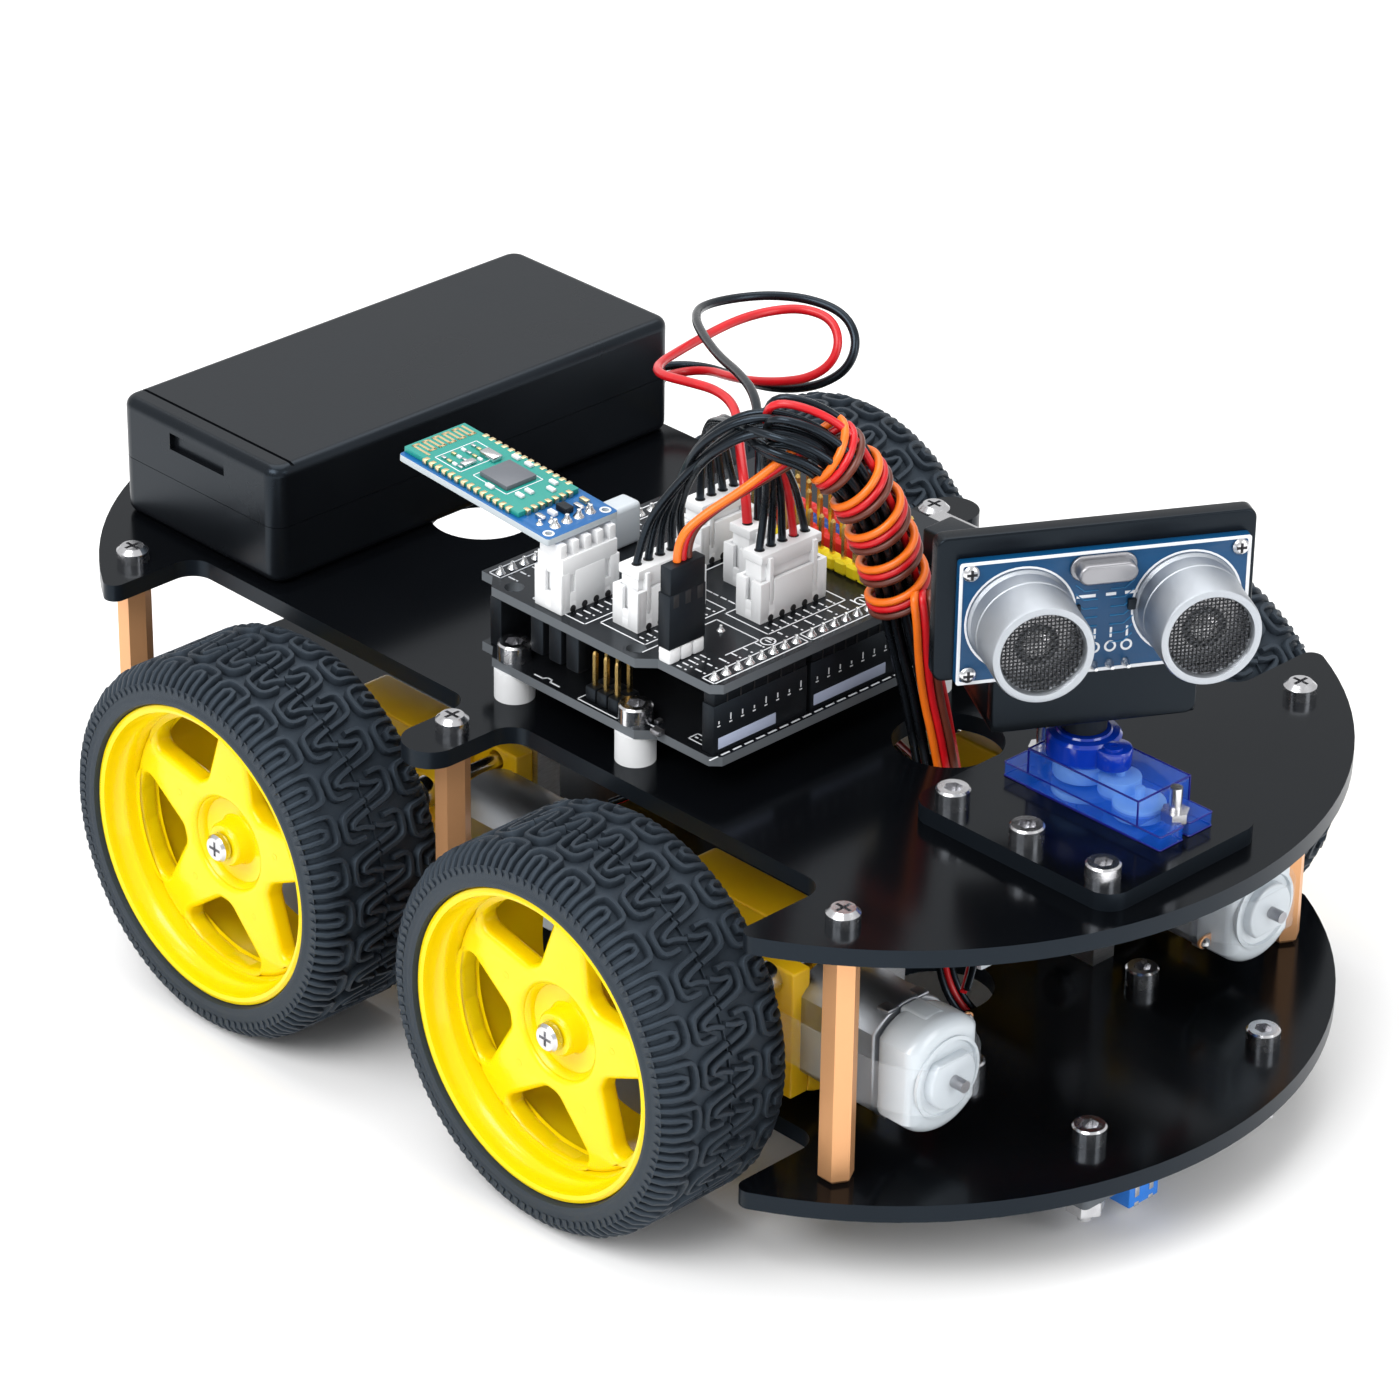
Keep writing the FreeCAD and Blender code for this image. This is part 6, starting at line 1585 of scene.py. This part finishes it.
def blended(line, lengths, reach):
    """The bundle's frame at one distance along it, blended so that the coil runs evenly round the bend."""
    shares = [max(0.0, 1 - abs(length - reach) / COIL_BLEND) for length in lengths]
    totals = [Vector(), Vector(), Vector()]
    for share, spot in zip(shares, line):
        for total, part in zip(totals, spot):
            total += part * share
    point, across, up = (total / sum(shares) for total in totals)
    return point, across.normalized(), up.normalized()


def make_servo_lead():
    """Three flat wires from the shield's pins, coiled round the bundle and down to the servo."""
    line = frames_along(line_of(HARNESS_ROUTE))
    lengths = [0.0]
    for (a, _, _), (b, _, _) in zip(line, line[1:]):
        lengths.append(lengths[-1] + (b - a).length)
    start, end = COIL_START * lengths[-1], COIL_END * lengths[-1]
    for wire, (colour, material) in enumerate(LEAD_TRIO):
        side = (wire - 1) * WIRE_WIDE
        route = [Vector(point) + Vector((0, side * 0.9, 0)) for point in SERVO_LEAD_START]
        for n in range(COIL_TURNS * COIL_STEPS + 1):
            share = n / (COIL_TURNS * COIL_STEPS)
            point, across, up = blended(line, lengths, start + (end - start) * share + side * 1.05)
            angle = 2 * math.pi * share * COIL_TURNS + COIL_ANGLE
            route.append(point + COIL_RADIUS * (across * math.cos(angle) + up * math.sin(angle)))
        route += [Vector(point) + Vector((side * 0.5, side * 0.9, 0)) for point in SERVO_LEAD_END]
        cord("servo_wire_" + colour, route, WIRE_WIDE, material, "wire_servo", "servo_lead", "coiled")


make_servo_lead()

# The motors' pairs of wires on the left side of the car, and the line sensor's lead, in millimetres.
MOTOR_ROUTES = {
    "front": [(84.6, 27.4, 41.5), (82.5, 23.0, 44.5), (76.0, 16.5, 48.5), (67.5, 9.0, 52.0),
              (58.4, 3.4, 53.2)],
    "rear": [(5.6, 27.4, 41.5), (9.5, 22.0, 44.0), (20.0, 15.5, 48.0), (33.0, 8.5, 51.0), (47.6, 2.6, 52.6)],
}
SENSOR_ROUTE = [(74.7, 4.2, 11.4), (69.0, 4.1, 11.3), (61.5, 2.6, 11.5), (55.5, 0.8, 16.5), (53.6, 0.2, 27.0),
                (53.0, 0.0, 40.0), (52.4, 0.0, 53.8)]
MOTOR_WIRE_WIDE = 1.2 * MM
PAIR_APART = 0.62


def make_motor_wires():
    """A black and a red wire from each motor, through a small plug, and the line sensor's three."""
    plugs = Shape()
    for end, route in MOTOR_ROUTES.items():
        for side, label in ((1, "left"), (-1, "right")):
            spots = frames_along([Vector((x, side * y, z)) for x, y, z in route])
            for sign, key, colour in ((1, "k", "black"), (-1, "r", "red")):
                points = [(point + across * sign * PAIR_APART) * MM for point, across, _ in spots]
                name = "motor_wire_%s_%s_%s" % (end, label, colour)
                cord(name, points, MOTOR_WIRE_WIDE, *WIRE_LOOKS[key], "wire_harness")
            x, y, z = route[1]
            y = side * (y - 2.5)
            plugs.block((x - 3.2, y - 1.8, z - 2.4), (x + 0.6, y + 1.8, z + 2.4), 0.4)
    for n, key in enumerate("krk"):
        aside = Vector((0, (n - 1) * 1.3, 0))
        points = [(Vector(point) + aside) * MM for point in SENSOR_ROUTE]
        name = "line_sensor_wire_%d" % (n + 1)
        cord(name, points, MOTOR_WIRE_WIDE, *WIRE_LOOKS[key], "wire_harness")
    on_car("motor_wire_plugs", plugs, [cap_white])


make_motor_wires()

# ---------------------------------------------------------------- stage, lights and camera


FLOOR_REACH = 6.0


def make_stage():
    """A wide white floor under an evenly white sky."""
    data = bpy.data.meshes.new("floor")
    corners = [(x, y, 0) for x, y in rect(-FLOOR_REACH, -FLOOR_REACH, FLOOR_REACH, FLOOR_REACH)]
    data.from_pydata(corners, [], [(0, 1, 2, 3)])
    data.materials.append(surface("floor_white", (0.93, 0.93, 0.93), (0.9, 0.9, 0.9), (0.7, 0.8), size=0.5))
    floor = bpy.data.objects.new("floor", data)
    bpy.context.scene.collection.objects.link(floor)
    world = bpy.data.worlds.new("studio")
    world.use_nodes = True
    background = world.node_tree.nodes["Background"]
    background.inputs["Color"].default_value = (1, 1, 1, 1)
    background.inputs["Strength"].default_value = 0.75
    bpy.context.scene.world = world
    bpy.context.scene.view_settings.view_transform = "Standard"


def softbox(name, place, target, size, power):
    """A rectangular light that faces its target."""
    light = bpy.data.lights.new(name, "AREA")
    light.shape = "RECTANGLE"
    light.size, light.size_y = size
    light.energy = power
    item = bpy.data.objects.new(name, light)
    item.location = place
    item.rotation_euler = (Vector(place) - Vector(target)).to_track_quat("Z", "Y").to_euler()
    bpy.context.scene.collection.objects.link(item)


def make_lights():
    """A key light from the right, a large one overhead and a weak one in front."""
    middle = (0, 0, 0.06)
    softbox("key", (0.1, -0.9, 1.0), middle, (0.9, 0.7), 14)
    softbox("top", (-0.3, 0.3, 1.3), middle, (1.2, 1.2), 10)
    softbox("front", (1.1, 0.2, 0.5), middle, (0.5, 0.8), 5)


# The camera circles its target: azimuth runs from the car's right side towards its front.
CAMERA_AZIMUTH = 45.522
CAMERA_ELEVATION = 28.383
CAMERA_ROLL = 0.815
CAMERA_DISTANCE = 0.9085
CAMERA_TARGET = Vector((-0.00195, 0.0, 0.050))
CAMERA_LENS = 141.8
CAMERA_SHIFT_Y = -0.0103
SENSOR_WIDTH = 36.0


def make_camera():
    """The camera of the photo's view."""
    azimuth, elevation = math.radians(CAMERA_AZIMUTH), math.radians(CAMERA_ELEVATION)
    level = math.cos(elevation)
    back = Vector((math.sin(azimuth) * level, -math.cos(azimuth) * level, math.sin(elevation)))
    right = (-back).cross(Vector((0, 0, 1))).normalized()
    up = right.cross(-back)
    roll = math.radians(CAMERA_ROLL)
    turned_right = right * math.cos(roll) + up * math.sin(roll)
    turned_up = up * math.cos(roll) - right * math.sin(roll)
    place = CAMERA_TARGET + back * CAMERA_DISTANCE
    data = bpy.data.cameras.new("camera")
    data.lens = CAMERA_LENS
    data.sensor_width = SENSOR_WIDTH
    data.shift_y = CAMERA_SHIFT_Y
    data.clip_start = 0.05
    item = bpy.data.objects.new("camera", data)
    turn = Matrix((turned_right, turned_up, back)).transposed().to_4x4()
    item.matrix_world = at(*place) @ turn
    bpy.context.scene.collection.objects.link(item)
    bpy.context.scene.camera = item


make_stage()
make_lights()
make_camera()
